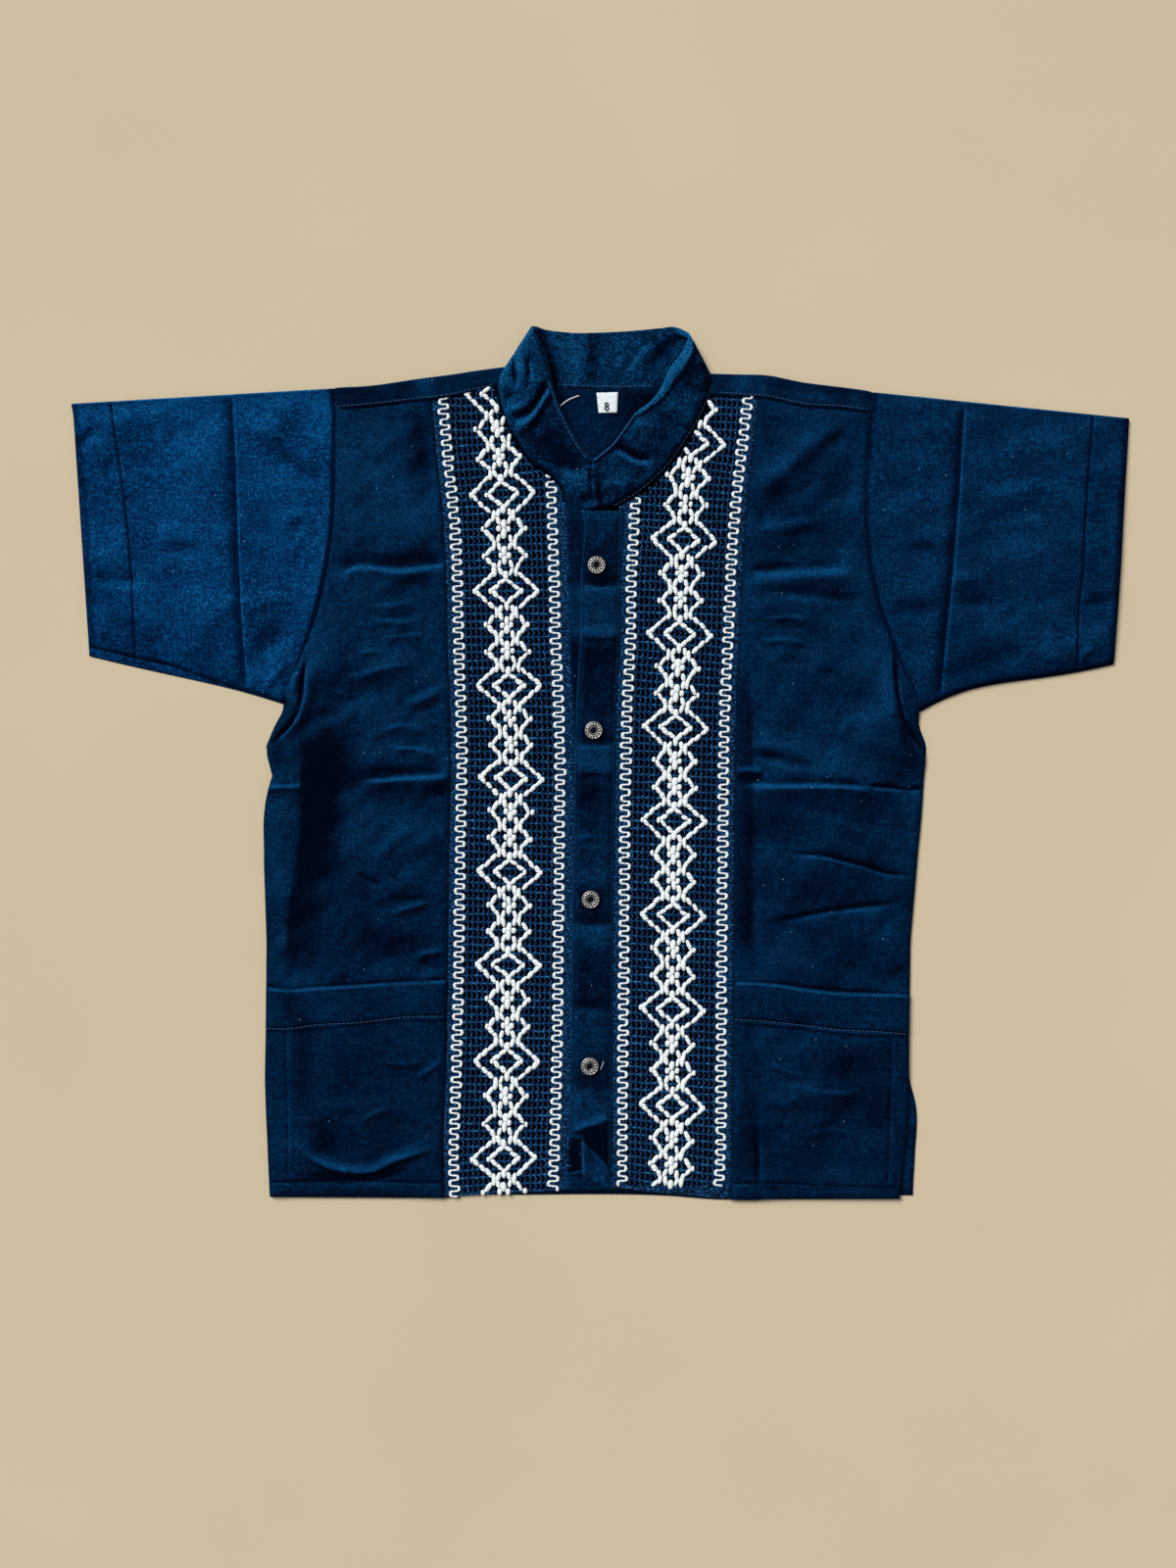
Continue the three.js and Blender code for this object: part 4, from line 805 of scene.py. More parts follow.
bandSides = {
    "Right": {
        "node": "band_right", "outer": 1, "inner": 2, "out": -1, "foot": -289.5,
        "column": [
            (262, -68.6), (243, -68.3), (230, -68.3), (213, -67.9), (195, -66.3), (179, -64.5), (155, -63.4)],
        "diamonds": [306, 243.5, 176.9, 112.8, 50.3, -10.8, -72.6, -134.2, -197.7, -262.1, -324],
        "lean": [(262, 0), (110, -1), (20, -2.5), (-130, -0.5), (-200, 0.5), (-262, 3), (-296, 3)],
        "seed": 11,
    },
    "Left": {
        "node": "band_left", "outer": 4, "inner": 3, "out": 1, "foot": -280.6,
        "column": [
            (262, 64), (232, 62.5), (211, 61.5), (197, 59.3), (188, 57.7), (179, 56.9), (170, 56.5),
            (162, 56.1), (149, 56.1)],
        "diamonds": [273, 211, 146.5, 84.3, 22.8, -38.9, -101.5, -163.5, -227.3, -289.6, -352],
        "lean": [(262, 0), (149, 1.5), (86, -1), (-160, -2.7), (-227, -4), (-296, -7)], "seed": 12,
    },
}


def bandPlan(side):
    place = np.arange(-300, 266, 6.0)
    outer, inner = column(bandLines, side["outer"])(place), column(bandLines, side["inner"])(place)
    middle = np.where(place > min(side["column"])[0], column(side["column"])(place), (outer + inner) / 2)
    for _ in range(3):
        middle[1:-1] = (middle[:-2] + 2 * middle[1:-1] + middle[2:]) / 4
    turn = np.radians(column(side["lean"])(place)) - np.arctan(np.gradient(middle, place))

    def spot(s, t):
        x, angle = np.interp(t, place, middle), np.interp(t, place, turn)
        return x + s * np.cos(angle), t + s * np.sin(angle), angle

    def line(name, inset):
        edge = outer if name == "outer" else inner
        toward = -side["out"] if name == "outer" else side["out"]
        return np.column_stack([edge + toward * inset, place])[::-1]

    return spot, line


# The runs of rows that lie inside, each longer than least
def runsWhere(inside, rows, least):
    edges = np.flatnonzero(np.diff(np.concatenate([[0], inside.astype(int), [0]])))
    return [rows[a:b] for a, b in zip(edges[::2], edges[1::2]) if b - a > least]


def runsInside(loop, path):
    return runsWhere(inLoop(loop, path[:, 0], path[:, 1]), path, 2)


def resample(path, count):
    reached = reachAlong(path)
    places = np.linspace(0, reached[-1], count)
    return np.column_stack([np.interp(places, reached, path[:, k]) for k in range(path.shape[1])])


# The gauze ground: weft bars, chevron threads between them, and the solid cloth of its two selvages
def makeGround(name, side, loop, height):
    rng = np.random.default_rng(side["seed"])
    spot, line = bandPlan(side)
    bars = []
    for t in np.arange(band["low"], band["high"], band["barPitch"]):
        s = np.linspace(-48, 48, 193)
        x, y, _ = spot(s, t + 0 * s)
        wander = 0.35 * np.sin(s / rng.uniform(5, 9) + rng.uniform(0, 6)) * rng.uniform(0.3, 1)
        path = np.column_stack([x, y + wander])
        path = path[path[:, 1] > side["foot"]]
        for run in runsInside(loop, path) if len(path) > 3 else []:
            if np.linalg.norm(run[-1] - run[0]) > band["shortest"]:
                bars.append(resample(run, 48))
    bars = np.array(bars)
    flat = bars.reshape(-1, 2)
    z = height(flat[:, 0], flat[:, 1]).reshape(bars.shape[:2]) - band["barHeight"] / 2
    width = band["barWidth"] / 2 * (1 + 0.16 * rng.normal(size=z.shape))
    barPart = threads(np.dstack([bars, z]), width, band["barHeight"] / 2, 5)
    strands = []
    for s in np.arange(-34.5, 35, band["strandPitch"]):
        t = np.arange(band["low"], band["high"], band["barPitch"] / 4)
        zig = band["chevron"] * np.array([0, 1, 2, 1])[np.arange(len(t)) % 4] - band["chevron"]
        x, y, _ = spot(s + zig, t)
        level = height(x, y) - 0.5 + 0.12 * np.cos(2 * math.pi * t / band["barPitch"])
        path = np.column_stack([x, y, level])
        path = path[path[:, 1] > side["foot"]]
        strands += [threads(run[None], band["strandWidth"] / 2, band["strandHeight"] / 2, 4)
                    for run in runsInside(loop, path)]
    ground = addPiece(name + "Gauze", [barPart] + strands, "ground", node=side["node"])

    def selvageTop(x, y, edge):
        return height(x, y) + 0.05 - 0.45 * bell(edge, 0.8)

    selvages = []
    for edgeName in ("outer", "inner"):
        near, far = line(edgeName, -3), line(edgeName, band["selvage"])
        strip = np.vstack([near, far[::-1]])
        if edgeName == "inner":
            strip = strip[strip[:, 1] < 190]
        strip = strip if signedArea(strip) > 0 else strip[::-1]
        selvages.append(cutSheet(loop, 1.9, selvageTop, 0.7, within=strip))
    if side["out"] > 0:
        foot = np.array([(0, -300), (95, -300), (95, side["foot"]), (0, side["foot"])], float)
        selvages.append(cutSheet(loop, 1.9, selvageTop, 0.8, within=foot))
    cloth = addPiece(name + "Selvage", selvages, "selvage")
    return ground, cloth


def signedArea(loop):
    x, y = loop[:, 0], loop[:, 1]
    return 0.5 * (x * np.roll(y, -1) - np.roll(x, -1) * y).sum()


# The brocade of one band, charted from one diamond to the next in millimetres down the column.
# Chains are runs of rice-grain stitches; rings, posts and knots are single stitches.
chart = {
    "sides": [((20.9, 0), (8.3, 11.4), 3), ((8.1, 16.3), (12.8, 22.0), 1), ((13.0, 22.4), (9.0, 27.0), 1),
              ((9.2, 26.2), (6.6, 30.2), 1), ((8.3, 34.3), (12.9, 39.7), 1), ((13.0, 40.6), (9.0, 44.6), 1),
              ((9.3, 43.8), (6.9, 47.9), 1), ((8.3, 51.1), (20.9, 62.5), 3),
              ((9.4, 0.4), (0.6, 7.6), 2), ((9.4, 62.1), (0.6, 54.9), 2)],
    "tips": [(20.7, 0), (14.0, 22.2), (14.0, 40.2), (10.0, 0)], "tipWidth": 2.8, "tipHeight": 3.6,
    "rings": [14.6, 31.2, 47.8], "ringAcross": [(2.6, -5.0), (4.9, 0.1), (4.9, -0.1), (2.4, 4.9)],
    "waists": [(7.3, 14.0, 7.8), (7.4, 32.4, 7.4), (7.7, 49.8, 6.6)], "waistBow": 0.7, "waistWidth": 3.15,
    "posts": [(9.5, 6.2), (19.5, 6.4), (25.2, 6.4), (36.6, 6.4), (42.4, 6.4), (52.9, 6.2)], "postWidth": 3.9,
    "knots": [22.4, 39.5], "knotAside": 2.9, "knotLength": 3.9, "knotWidth": 3.4,
    "stitchOver": 1.07, "stitchWidth": 3.2, "stitchSlant": 9, "trim": 0.3, "yarnHeight": 1.5,
}
meander = {"reach": 2.8, "period": 6.9, "lean": 0.4, "square": 1.7, "thin": 0.58, "thick": 1.08,
           "height": 0.7}


# One stitch each: place across, place down, direction, length, width and bow
def chartStitches():
    found = []

    def run(a, b, count, width):
        step = (b - a) / count
        size = np.linalg.norm(step)
        for k in range(count):
            middle = a + step * (k + 0.5)
            for mirror in (-1, 1):
                slant = math.radians(chart["stitchSlant"]) * (1 if step[0] > 0 else -1)
                turn = math.atan2(-step[1], step[0]) - slant
                turn = turn if mirror > 0 else math.pi - turn
                found.append((mirror * middle[0], middle[1], turn, size * chart["stitchOver"], width, 0.0))

    for a, b, count in chart["sides"]:
        a, b = np.array(a, float), np.array(b, float)
        trim = (b - a) / np.linalg.norm(b - a) * chart["trim"]
        run(*((a + trim, b) if a[0] > b[0] else (a, b - trim)), count, chart["stitchWidth"])
    for d in chart["rings"]:
        ends = [np.array((x, d + t)) for x, t in chart["ringAcross"]]
        run(ends[0], ends[1], 1, chart["waistWidth"])
        run(ends[2], ends[3], 1, chart["waistWidth"])
    upright = math.pi / 2
    for mirror in (-1, 1):
        for x, d in chart["tips"]:
            found.append((mirror * x, d, upright, chart["tipHeight"], chart["tipWidth"], 0.0))
        for x, d, size in chart["waists"]:
            found.append((mirror * x, d, upright, size, chart["waistWidth"], mirror * chart["waistBow"]))
        for d in chart["knots"]:
            found.append((mirror * chart["knotAside"], d, upright, chart["knotLength"],
                          chart["knotWidth"], 0.0))
    for d, size in chart["posts"]:
        found.append((0.0, d, upright, size, chart["postWidth"], 0.0))
    return np.array(found)


def makeBrocade(name, side, loop, height):
    rng = np.random.default_rng(side["seed"] + 20)
    spot, line = bandPlan(side)
    chartRows = chartStitches()
    middles, turns, lengths, widths, bows = [], [], [], [], []
    for above, below in zip(side["diamonds"], side["diamonds"][1:]):
        scale = (above - below) / band["repeat"]
        s = chartRows[:, 0] + rng.normal(0, 0.22, len(chartRows))
        t = above - chartRows[:, 1] * scale + rng.normal(0, 0.22, len(chartRows))
        x, y, angle = spot(s, t)
        middles.append(np.column_stack([x, y]))
        turns.append(chartRows[:, 2] + angle + np.radians(rng.normal(0, 4.5, len(chartRows))))
        lengths.append(chartRows[:, 3] * (1 + rng.normal(0, 0.06, len(chartRows))))
        widths.append(chartRows[:, 4] * (1 + rng.normal(0, 0.08, len(chartRows))))
        bows.append(chartRows[:, 5])
    middles, turns = np.vstack(middles), np.concatenate(turns)
    lengths, widths, bows = np.concatenate(lengths), np.concatenate(widths), np.concatenate(bows)
    keep = inLoop(loop, middles[:, 0], middles[:, 1]) & (middles[:, 1] > side["foot"] - 0.5)
    keep[keep] = edgeDistance(loop, middles[keep, 0], middles[keep, 1]) > 0.7
    x, y = middles[keep].T
    z = height(x, y) + 0.45
    count = keep.sum()
    stitches = beads(np.column_stack([x, y, z]), turns[keep], lengths[keep], widths[keep],
                     chart["yarnHeight"] * (1 + rng.normal(0, 0.08, count)), bows[keep], 7)
    parts = [stitches]
    for edgeName in ("outer", "inner"):
        path = curveThrough(line(edgeName, band["meanderInset"])[::4], 1.0)
        reached = reachAlong(path)
        turnsAll = reached[-1] / meander["period"]
        theta = np.arange(0, turnsAll * 2 * math.pi, 0.16)
        lobes = np.arange(0, theta[-1] + math.pi, math.pi)
        reach = 1 + np.interp(theta, lobes, rng.normal(0, 0.11, len(lobes)))
        drift = np.interp(theta, lobes, rng.normal(0, 0.28, len(lobes)))
        wave = np.tanh(meander["square"] * np.sin(theta)) / math.tanh(meander["square"])
        aside = meander["reach"] * reach * wave + 0.4 * drift
        along = theta * meander["period"] / (2 * math.pi) - meander["lean"] * np.sin(2 * theta) + drift
        px, py = np.interp(along, reached, path[:, 0]), np.interp(along, reached, path[:, 1])
        ax = np.interp(along + 1, reached, path[:, 0]) - np.interp(along - 1, reached, path[:, 0])
        ay = np.interp(along + 1, reached, path[:, 1]) - np.interp(along - 1, reached, path[:, 1])
        size = np.hypot(ax, ay) + 1e-9
        x, y = px - ay / size * aside, py + ax / size * aside
        lobe = np.abs(np.sin(theta))**2
        wide = (meander["thin"] + (meander["thick"] - meander["thin"]) * lobe) * (
            1 + rng.normal(0, 0.05, len(theta)))
        inside = inLoop(loop, x, y) & (y > side["foot"] + 0.3)
        rows = np.column_stack([x, y, height(x, y) + 0.35, wide])
        for run in runsWhere(inside, rows, 4):
            parts.append(threads(run[None, :, :3], run[None, :, 3], meander["height"], 6))
    return addPiece(name + "Brocade", parts, "brocade")


# An outline moved out a little, so that the cloth covers its node
def grown(loop, by=0.12):
    ahead = np.roll(loop, -1, axis=0) - np.roll(loop, 1, axis=0)
    size = np.maximum(np.linalg.norm(ahead, axis=1, keepdims=True), 1e-9)
    return loop + by * np.column_stack([ahead[:, 1], -ahead[:, 0]]) / size


def nodeSurface(node):
    points, triangles = readNode(node)
    return surfaceOf({"points": points, "faces": triangles.tolist()})


back = {
    "spacing": 5, "top": 0.95, "flat": (0.44, 0.56), "roll": 2, "shell": 0.5, "collarReach": 9,
    # Along each shoulder: place, where the fold lies and where the seam lies
    "shoulders": [
        [(-177.8, 247.2, 232.8), (-151, 248.6, 235), (-125, 252.4, 238), (-99, 255.8, 241.3),
         (-82, 258.4, 245.2), (-71.8, 261, 248)],
        [(78.4, 256.6, 242.4), (94, 256, 241.4), (109, 255.6, 240.2), (135, 250.6, 234.8),
         (161, 247.2, 232.9), (181.6, 244.6, 230.2)],
    ],
    "profile": (0.08, 0.3, 0.55, 0.72),
    # Painted shade: long dark strips on the back under the two bands, so that it looks black through their
    # open weave, and a faint paler patch inside the neck
    "tone": [(-65, -20, 600, 40, 90, -1.1), (55, -20, 600, 40, 90, -1.1), (8, 228, 30, 26, 0, 0.05)],
    # Painted shade and light along the shoulder folds
    "shoulderTone": [(-150, 245, 70, 14, 8, -0.35), (-117, 250, 6, 9, 0, 0.5), (-142, 247, 8, 5, 8, 0.2),
                     (130, 246, 70, 14, -8, -0.32), (94, 251, 9, 6, 55, 0.5), (107, 247, 5, 6, 0, 0.4),
                     (142, 241, 18, 4, -8, 0.45), (170, 236, 5, 6, 0, 0.25)],
}


def backTop(x, y, edge):
    return back["top"] + 0.12 * bell(edge, 3) + 0.04 * swell(x, y, 5)


def backBottom(x, y, edge):
    return np.zeros(len(x))


# The cloth of the back where it rolls over a shoulder to the seam
def shoulderTurn(rows):
    surface = nodeSurface("back")
    first, last = rows[0][0] + 0.5, rows[-1][0] - 0.5
    reach = np.array(rows)
    near = 0 if first > 0 else -1
    reach[near, 0] -= math.copysign(back["collarReach"], reach[near, 0])
    stations = []
    for x, _, fold, seam in curveThrough(np.insert(reach, 1, 0.0, axis=1), 2.6):
        y = seam + np.array(back["profile"]) * (fold - seam)
        stations.append([x, fold, seam, *surface(np.full(4, np.clip(x, first, last)), y)])
    stations = np.array(stations)
    for _ in range(6):
        stations[1:-1, 3:] = (stations[:-2, 3:] + 2 * stations[1:-1, 3:] + stations[2:, 3:]) / 4
    grid = []
    for x, fold, seam, *levels in stations:
        radius = levels[-1] / 2
        inset = min(radius, back["roll"])
        shares = np.linspace(0.0, 1.0, 8)
        ys = seam + 0.1 + shares * (fold - inset - seam - 0.1)
        zs = np.interp((ys - seam) / (fold - seam), back["profile"], levels)
        zs = zs - 0.5 * bell(ys - seam, 1.2)
        angles = np.radians(np.arange(67.5, -91, -22.5))
        profile = [(x, y, z) for y, z in zip(ys, zs)]
        profile += [(x, fold - inset + inset * math.cos(a), radius + radius * math.sin(a)) for a in angles]
        profile += [(x, fold - inset - 3, 0.0), (x, fold - inset - 5, 0.0)]
        grid.append(profile)
    grid = np.array(grid)
    x, y = grid[..., 0].ravel(), grid[..., 1].ravel()
    lift = 0.25 * swell(x, y, 8, 0.8).reshape(grid.shape[:2])
    grid[..., 2] = np.maximum(grid[..., 2] + lift * (grid[..., 2] > 2), 0)
    worn = np.zeros(grid.shape[:2])
    worn[:, 9:12] = 0.35
    return gridShell(grid, back["shell"], worn, paintedShading(back["shoulderTone"]))


backLoop = grown(smoothOutline(footprint("back", facing=-1, below=0.5), 4.0))
backParts = [cutSheet(backLoop, back["spacing"], backTop, 0.9, bottomHeight=backBottom,
                      tone=paintedShading(back["tone"]))]
backParts += [shoulderTurn(rows) for rows in back["shoulders"]]
backCloth = addPiece("backCloth", backParts, "body", node="back")
print("back laid")


armpitRight = [(-194, 68), (-196, 57), (-197, 44), (-198.6, 37), (-203, 27), (-210, 19), (-217, 13)]
armpitLeft = [(193, 69), (195.5, 57), (197, 44), (199, 33.5), (202.5, 22), (208, 14), (214, 5)]
frontRight = {
    "name": "frontRightCloth", "seed": 31, "flat": (0.125, 0.535), "box": (-216, -104, -140, 238),
    "creases": [
        ridge([(-172, 124.8), (-164, 128.6), (-157, 130.2), (-150, 129.4), (-137.6, 127.8), (-127, 127.8),
            (-119.9, 129), (-101, 131)], -1.7, 6.5, 1.3, 0.12),
        ridge([(-170, 122), (-157, 127), (-137.6, 124.6), (-102, 127.4)], 0.5, 1.2, 5),
        ridge([(-159, 102), (-145, 102.4), (-130.5, 103.8), (-114, 108.5)], 0.45, 2, 5),
        ridge([(-150, 97), (-132, 95.5), (-114, 97.5)], -0.35, 4, 2.5),
        ridge([(-153.6, 92), (-138, 92), (-123.4, 90.4)], 0.3, 1.6, 3),
        ridge([(-144.7, 79.8), (-130, 82.5), (-114, 83)], 0.45, 2, 4),
        ridge([(-160, 70), (-150, 73), (-140, 70)], 0.5, 1.8, 3),
        ridge([(-172, 55), (-158, 57), (-140, 62), (-124, 64)], 0.5, 1.8, 4),
        ridge([(-131, 37), (-115, 42), (-102, 50)], 0.9, 2.5, 4),
        ridge([(-128, 32), (-112, 37), (-103, 44)], -0.3, 3),
        ridge([(-146, 20), (-130, 23), (-112, 20)], 0.5, 1.8, 3.5),
        ridge([(-141, 7.8), (-130, 8.2), (-120, 7.4), (-106, 2)], 0.9, 1.8, 4),
        ridge([(-160, -11.6), (-144.7, -11), (-130.5, -9.3), (-116, -9.3), (-105.7, -8.5),
            (-98, -6.6)], -1.7, 6, 1.3, 0.25),
        ridge([(-158, -15), (-130.5, -12.8), (-100, -11)], 0.6, 1.3, 6),
        ridge([(-118, -21), (-106, -20), (-98, -18)], -0.9, 4, 5),
        ridge([(-222, -17.4), (-210, -17), (-197, -16.8)], 1, 1.3, 4, 0.1),
        ridge([(-146, -64), (-135, -53), (-122, -41)], 0.55, 3),
        ridge([(-158, -62), (-146, -50), (-136, -42)], -0.35, 3),
        ridge([(-159, -73), (-150, -80), (-142, -80)], -0.4, 2, 3),
        ridge([(-142, -90), (-130, -91.5), (-115, -89)], -0.4, 2, 4),
        ridge([(-140, -100), (-126, -97), (-112, -92)], 0.6, 2, 3),
        ridge([(-124, -131), (-115, -127), (-102, -126)], 0.8, 2, 3),
        ridge([(-121, -132), (-112, -136), (-103, -139)], -0.5, 2, 3),
        ridge([(-165, 222), (-150, 205), (-138, 196)], 0.6, 5, 4),
        ridge([(-122, 232), (-114, 210), (-112, 186), (-111, 160)], -1.1, 3.5, 8),
        ridge(armpitRight, -2.4, 1, 1.5, 0.2),
        ridge([(-189, 74), (-191, 60), (-192.5, 44), (-196, 33), (-202, 23), (-212, 14)], 1.4, 3.5, 8),
        ridge([(-200, 62), (-202, 52), (-203, 42)], 0.9, 3, 2)],
    # Painted shade and light: darker toward the bottom, in the hollow by the side seam and along the creases,
    # paler higher up and on some swells
    "tone": [
        (-182, -30, 48, 12, 88, -0.55), (-176, 8, 22, 15, 90, -0.4), (-160, -12, 30, 12, 0, -0.22),
        (-137, -4.5, 18, 3.5, 4, -0.35), (-104, -19, 9, 6, 5, -0.4), (-150, -110, 60, 45, 0, -0.26),
        (-145, 180, 45, 55, 0, 0.14), (-128, 134.5, 26, 4.5, 2, -0.35), (-128, 121, 20, 3.5, 3, -0.3),
        (-187, 62, 40, 9, 84, 0.25), (-168, 56, 16, 12, 0, -0.15), (-117, 207, 28, 12, 97, -0.35),
        (-152, 195, 15, 10, 0, 0.18), (-122, 154, 16, 12, 20, 0.14), (-212, -60, 90, 6, 91, 0.12),
        (-120, -78, 22, 8, 10, 0.1), (-214, 2, 4, 8, 0, -0.2)],
    # Painted shade along lines: down beside the side seam, along the armpit fold, and a dark line along the
    # pocket's mouth
    "toneLines": [
        ridge([(-195.5, 26), (-195.8, -10), (-198, -55), (-204, -95), (-206, -146)], -0.5, 15, 2, 0.2),
        ridge(armpitRight, -1.1, 1, 1, 0.15),
        ridge([(-201.5, 29), (-210, 19.8), (-217.5, 13)], -1, 1.6, fade=0.3),
        ridge([(-202.5, 34), (-210.5, 26), (-217, 15)], -0.8, 0.8),
        ridge([(-220, -147.6), (-211.7, -149.4), (-163, -146.6), (-102, -143.2)], -0.4, 2, 0.8, 0)],
}
frontLeft = {
    "name": "frontLeftCloth", "seed": 32, "flat": (0.122, 0.54), "box": (97, 200, -140, 236),
    "creases": [
        ridge([(100, 182), (120, 190), (135, 203), (150, 216), (166, 228)], 1.3, 7, 5),
        ridge([(103, 176), (125, 177), (150, 188)], -0.9, 6, 5),
        ridge([(97, 152.5), (125, 155), (152, 160)], 1, 4.5, 3.5),
        ridge([(97, 120.5), (103, 123.5), (117.5, 125), (136, 126.5), (166, 128.5)], -0.8, 6, 2.2, 0.2),
        ridge([(96, 117), (103, 119.8), (118, 121.4), (136, 122.8), (172, 124.6)], 1.2, 3, 6, 0.2),
        ridge([(103, 113.5), (125.6, 111.6), (146, 109.6), (171, 107)], -0.9, 2.5, 3),
        ridge([(108, 93), (124, 95), (140, 92)], 0.5, 1.8, 3),
        ridge([(104, 78), (122, 80), (138, 77)], 0.5, 1.8, 3),
        ridge([(112, 64), (130, 66), (144, 62)], -0.5, 2.5, 3),
        ridge([(145, 63), (150, 58), (156, 55)], -0.7, 3, 4),
        ridge([(158, 12), (162, 22), (168, 32)], 0.6, 2.5, 3),
        ridge([(98, 5), (112, 2.5), (125.6, 0), (146, -6)], -1.2, 3),
        ridge([(100, 12), (114, 9), (128, 6)], 0.6, 3),
        ridge([(88, -6.4), (98, -5.8), (108, -6)], 1, 1.3, 2.5, 0.15),
        ridge([(95, -14.3), (121.6, -14.8), (146, -14.4), (160, -15), (178, -16.6)], -0.9, 4, 1.2, 0.12),
        ridge([(92, -17), (121.6, -17.8), (146, -17.4), (160, -18), (184, -20)], 1, 1.4, 7, 0.15),
        ridge([(178, -16.2), (196, -17), (216, -17.8)], -1.5, 1.3, 1.5, 0.1),
        ridge([(122, -61.6), (149, -62.7), (161.3, -65.7), (173.4, -68.7), (187.7, -73.4),
            (207, -75.2)], -1.1, 1.8, 1.2),
        ridge([(108, -105.6), (126.7, -103.3), (143, -100.2), (165.3, -96.8), (189.7, -94),
            (203, -90.6)], -1, 1.7, 2.6), ridge([(150, -36), (165, -45), (176, -52)], 0.5, 3),
        ridge(armpitLeft, -2, 1.5, 1, 0.2),
        ridge([(188, 74), (190.5, 58), (192, 44), (194, 32), (198, 20), (206, 8)], 1.4, 7, 3)],
    # Painted shade and light: darker along creases and toward the bottom, paler along some ridges
    "tone": [
        (127, 176, 25, 6, 12, -0.35), (122, 143, 30, 6.5, 3, -0.4), (158, 108.5, 16, 3.5, -4, -0.35),
        (140, 121.5, 40, 4, 3, 0.2), (173, 118, 20, 9, 90, 0.2), (178, 82, 20, 12, 100, 0.15),
        (112, 9, 16, 4, -2, 0.15), (160, -24, 18, 5, 0, 0.28), (198, -137, 4, 3, 0, -0.4),
        (150, -100, 60, 50, 0, -0.2), (168, -42, 18, 8, 10, -0.15), (120, -48, 20, 9, 0, -0.12),
        (112, 222, 9, 16, 0, -0.25), (128, -2, 18, 3, -12, -0.3), (128, -104, 18, 2.5, 8, -0.3),
        (200, 10, 12, 20, 0, -0.1), (135, -35, 30, 6, 0, -0.12)],
    # Painted shade along lines: beside the front band, under creases, along the armpit fold and along the
    # pocket's mouth
    "toneLines": [
        ridge([(96, 70), (99, 25), (99.6, -60), (99.6, -141)], -0.4, 1.8, 14, 0.15),
        ridge([(97, 127), (112, 129.5), (130, 130)], -0.5, 2.5, 1.2),
        ridge([(88, -10), (98, -10), (110, -9.6)], -0.6, 1.5, 2.5),
        ridge([(179, -16.4), (196, -17), (214, -17.8)], -1, 1.1, 1.2, 0.15),
        ridge([(148, -62.4), (161.3, -65.7), (173.4, -68.7), (187.7, -73.4), (206, -75)], -0.6, 1.2, 1),
        ridge([(192.7, 80), (195.7, 61), (197.7, 38.7), (201.8, 24.5), (206.9, 17.4),
            (214.5, 4)], -1.1, 1.2, 1, 0.12),
        ridge([(90, -144.4), (130.8, -148.2), (147, -150.4), (165.3, -151.8),
            (204, -152.8)], -0.8, 1.6, 0.8, 0.3)],
}
fronts = {"front_right": frontRight, "front_left": frontLeft}


# Upper side of a piece laid over others: its node's form, the swell of worn cloth, creases and dipped edges
def clothTop(node, look):
    base = readHeights(node)
    strewn = strewnCreases(look["box"], look.get("strewn", 60), look.get("lean", 0), look["seed"],
                           look.get("strewnRise", 0.17))

    def top(x, y, edge):
        settle = smoothRise(edge / 14)
        worn = look["grain"] * swell(x, y, look["seed"]) + creaseHeight(strewn, x, y)
        height = base(x, y) + settle * worn
        height += creaseHeight(look["creases"], x, y)
        if "steps" in look:
            height += stepHeight(look["steps"], x, y)
        height += creaseHeight(grooves(look.get("stitching", [])), x, y)
        return np.maximum(height - 0.3 * bell(edge, 1.1), look["least"])

    return top


# Lines narrow enough to need close points in the mesh
def creasePaths(look):
    lines = look["creases"] + look.get("toneLines", [])
    return [line["path"] for line in lines if min(line["left"], line["right"]) < 2.1]


# Lays a flat piece: its node's outline, grown a little and filled with cloth
def layCloth(node, look):
    loop = grown(smoothOutline(footprint(node, above=look["above"]), look["step"]))
    loop[:, 1] += look.get("topOverlap", 0) * (loop[:, 1] > 160)
    part = cutSheet(loop, look["spacing"], clothTop(node, look), look["thick"],
                    fine=creasePaths(look) + look.get("stitching", []), worn=look.get("worn", 0.12),
                    tone=paintedShading(look["tone"], look.get("toneLines", ()), look.get("areas", ())))
    surfaces[node] = part
    return addPiece(look["name"], [part], look.get("shade", "body"), node=node)


frontCloth = {"above": 1.8, "step": 2.6, "spacing": 2.6, "thick": 0.6, "grain": 0.42, "least": 1.6}
frontPieces = {node: layCloth(node, {**frontCloth, **look}) for node, look in fronts.items()}
print("side fronts laid")


for key, side in bandSides.items():
    loop = smoothOutline(footprint(side["node"], above=1.8), 2.0)
    innerEdge = column(bandLines, side["inner"])(loop[:, 1])
    beside = (np.abs(loop[:, 0] - innerEdge) < 5) & (loop[:, 1] < 170)
    loop[beside, 0] = innerEdge[beside] - side["out"] * band["underPlacket"]
    height = readHeights(side["node"])
    name = "band" + key
    gauze, selvage = makeGround(name, side, loop, height)
    brocade = makeBrocade(name, side, loop, height)
    print(name, "woven")


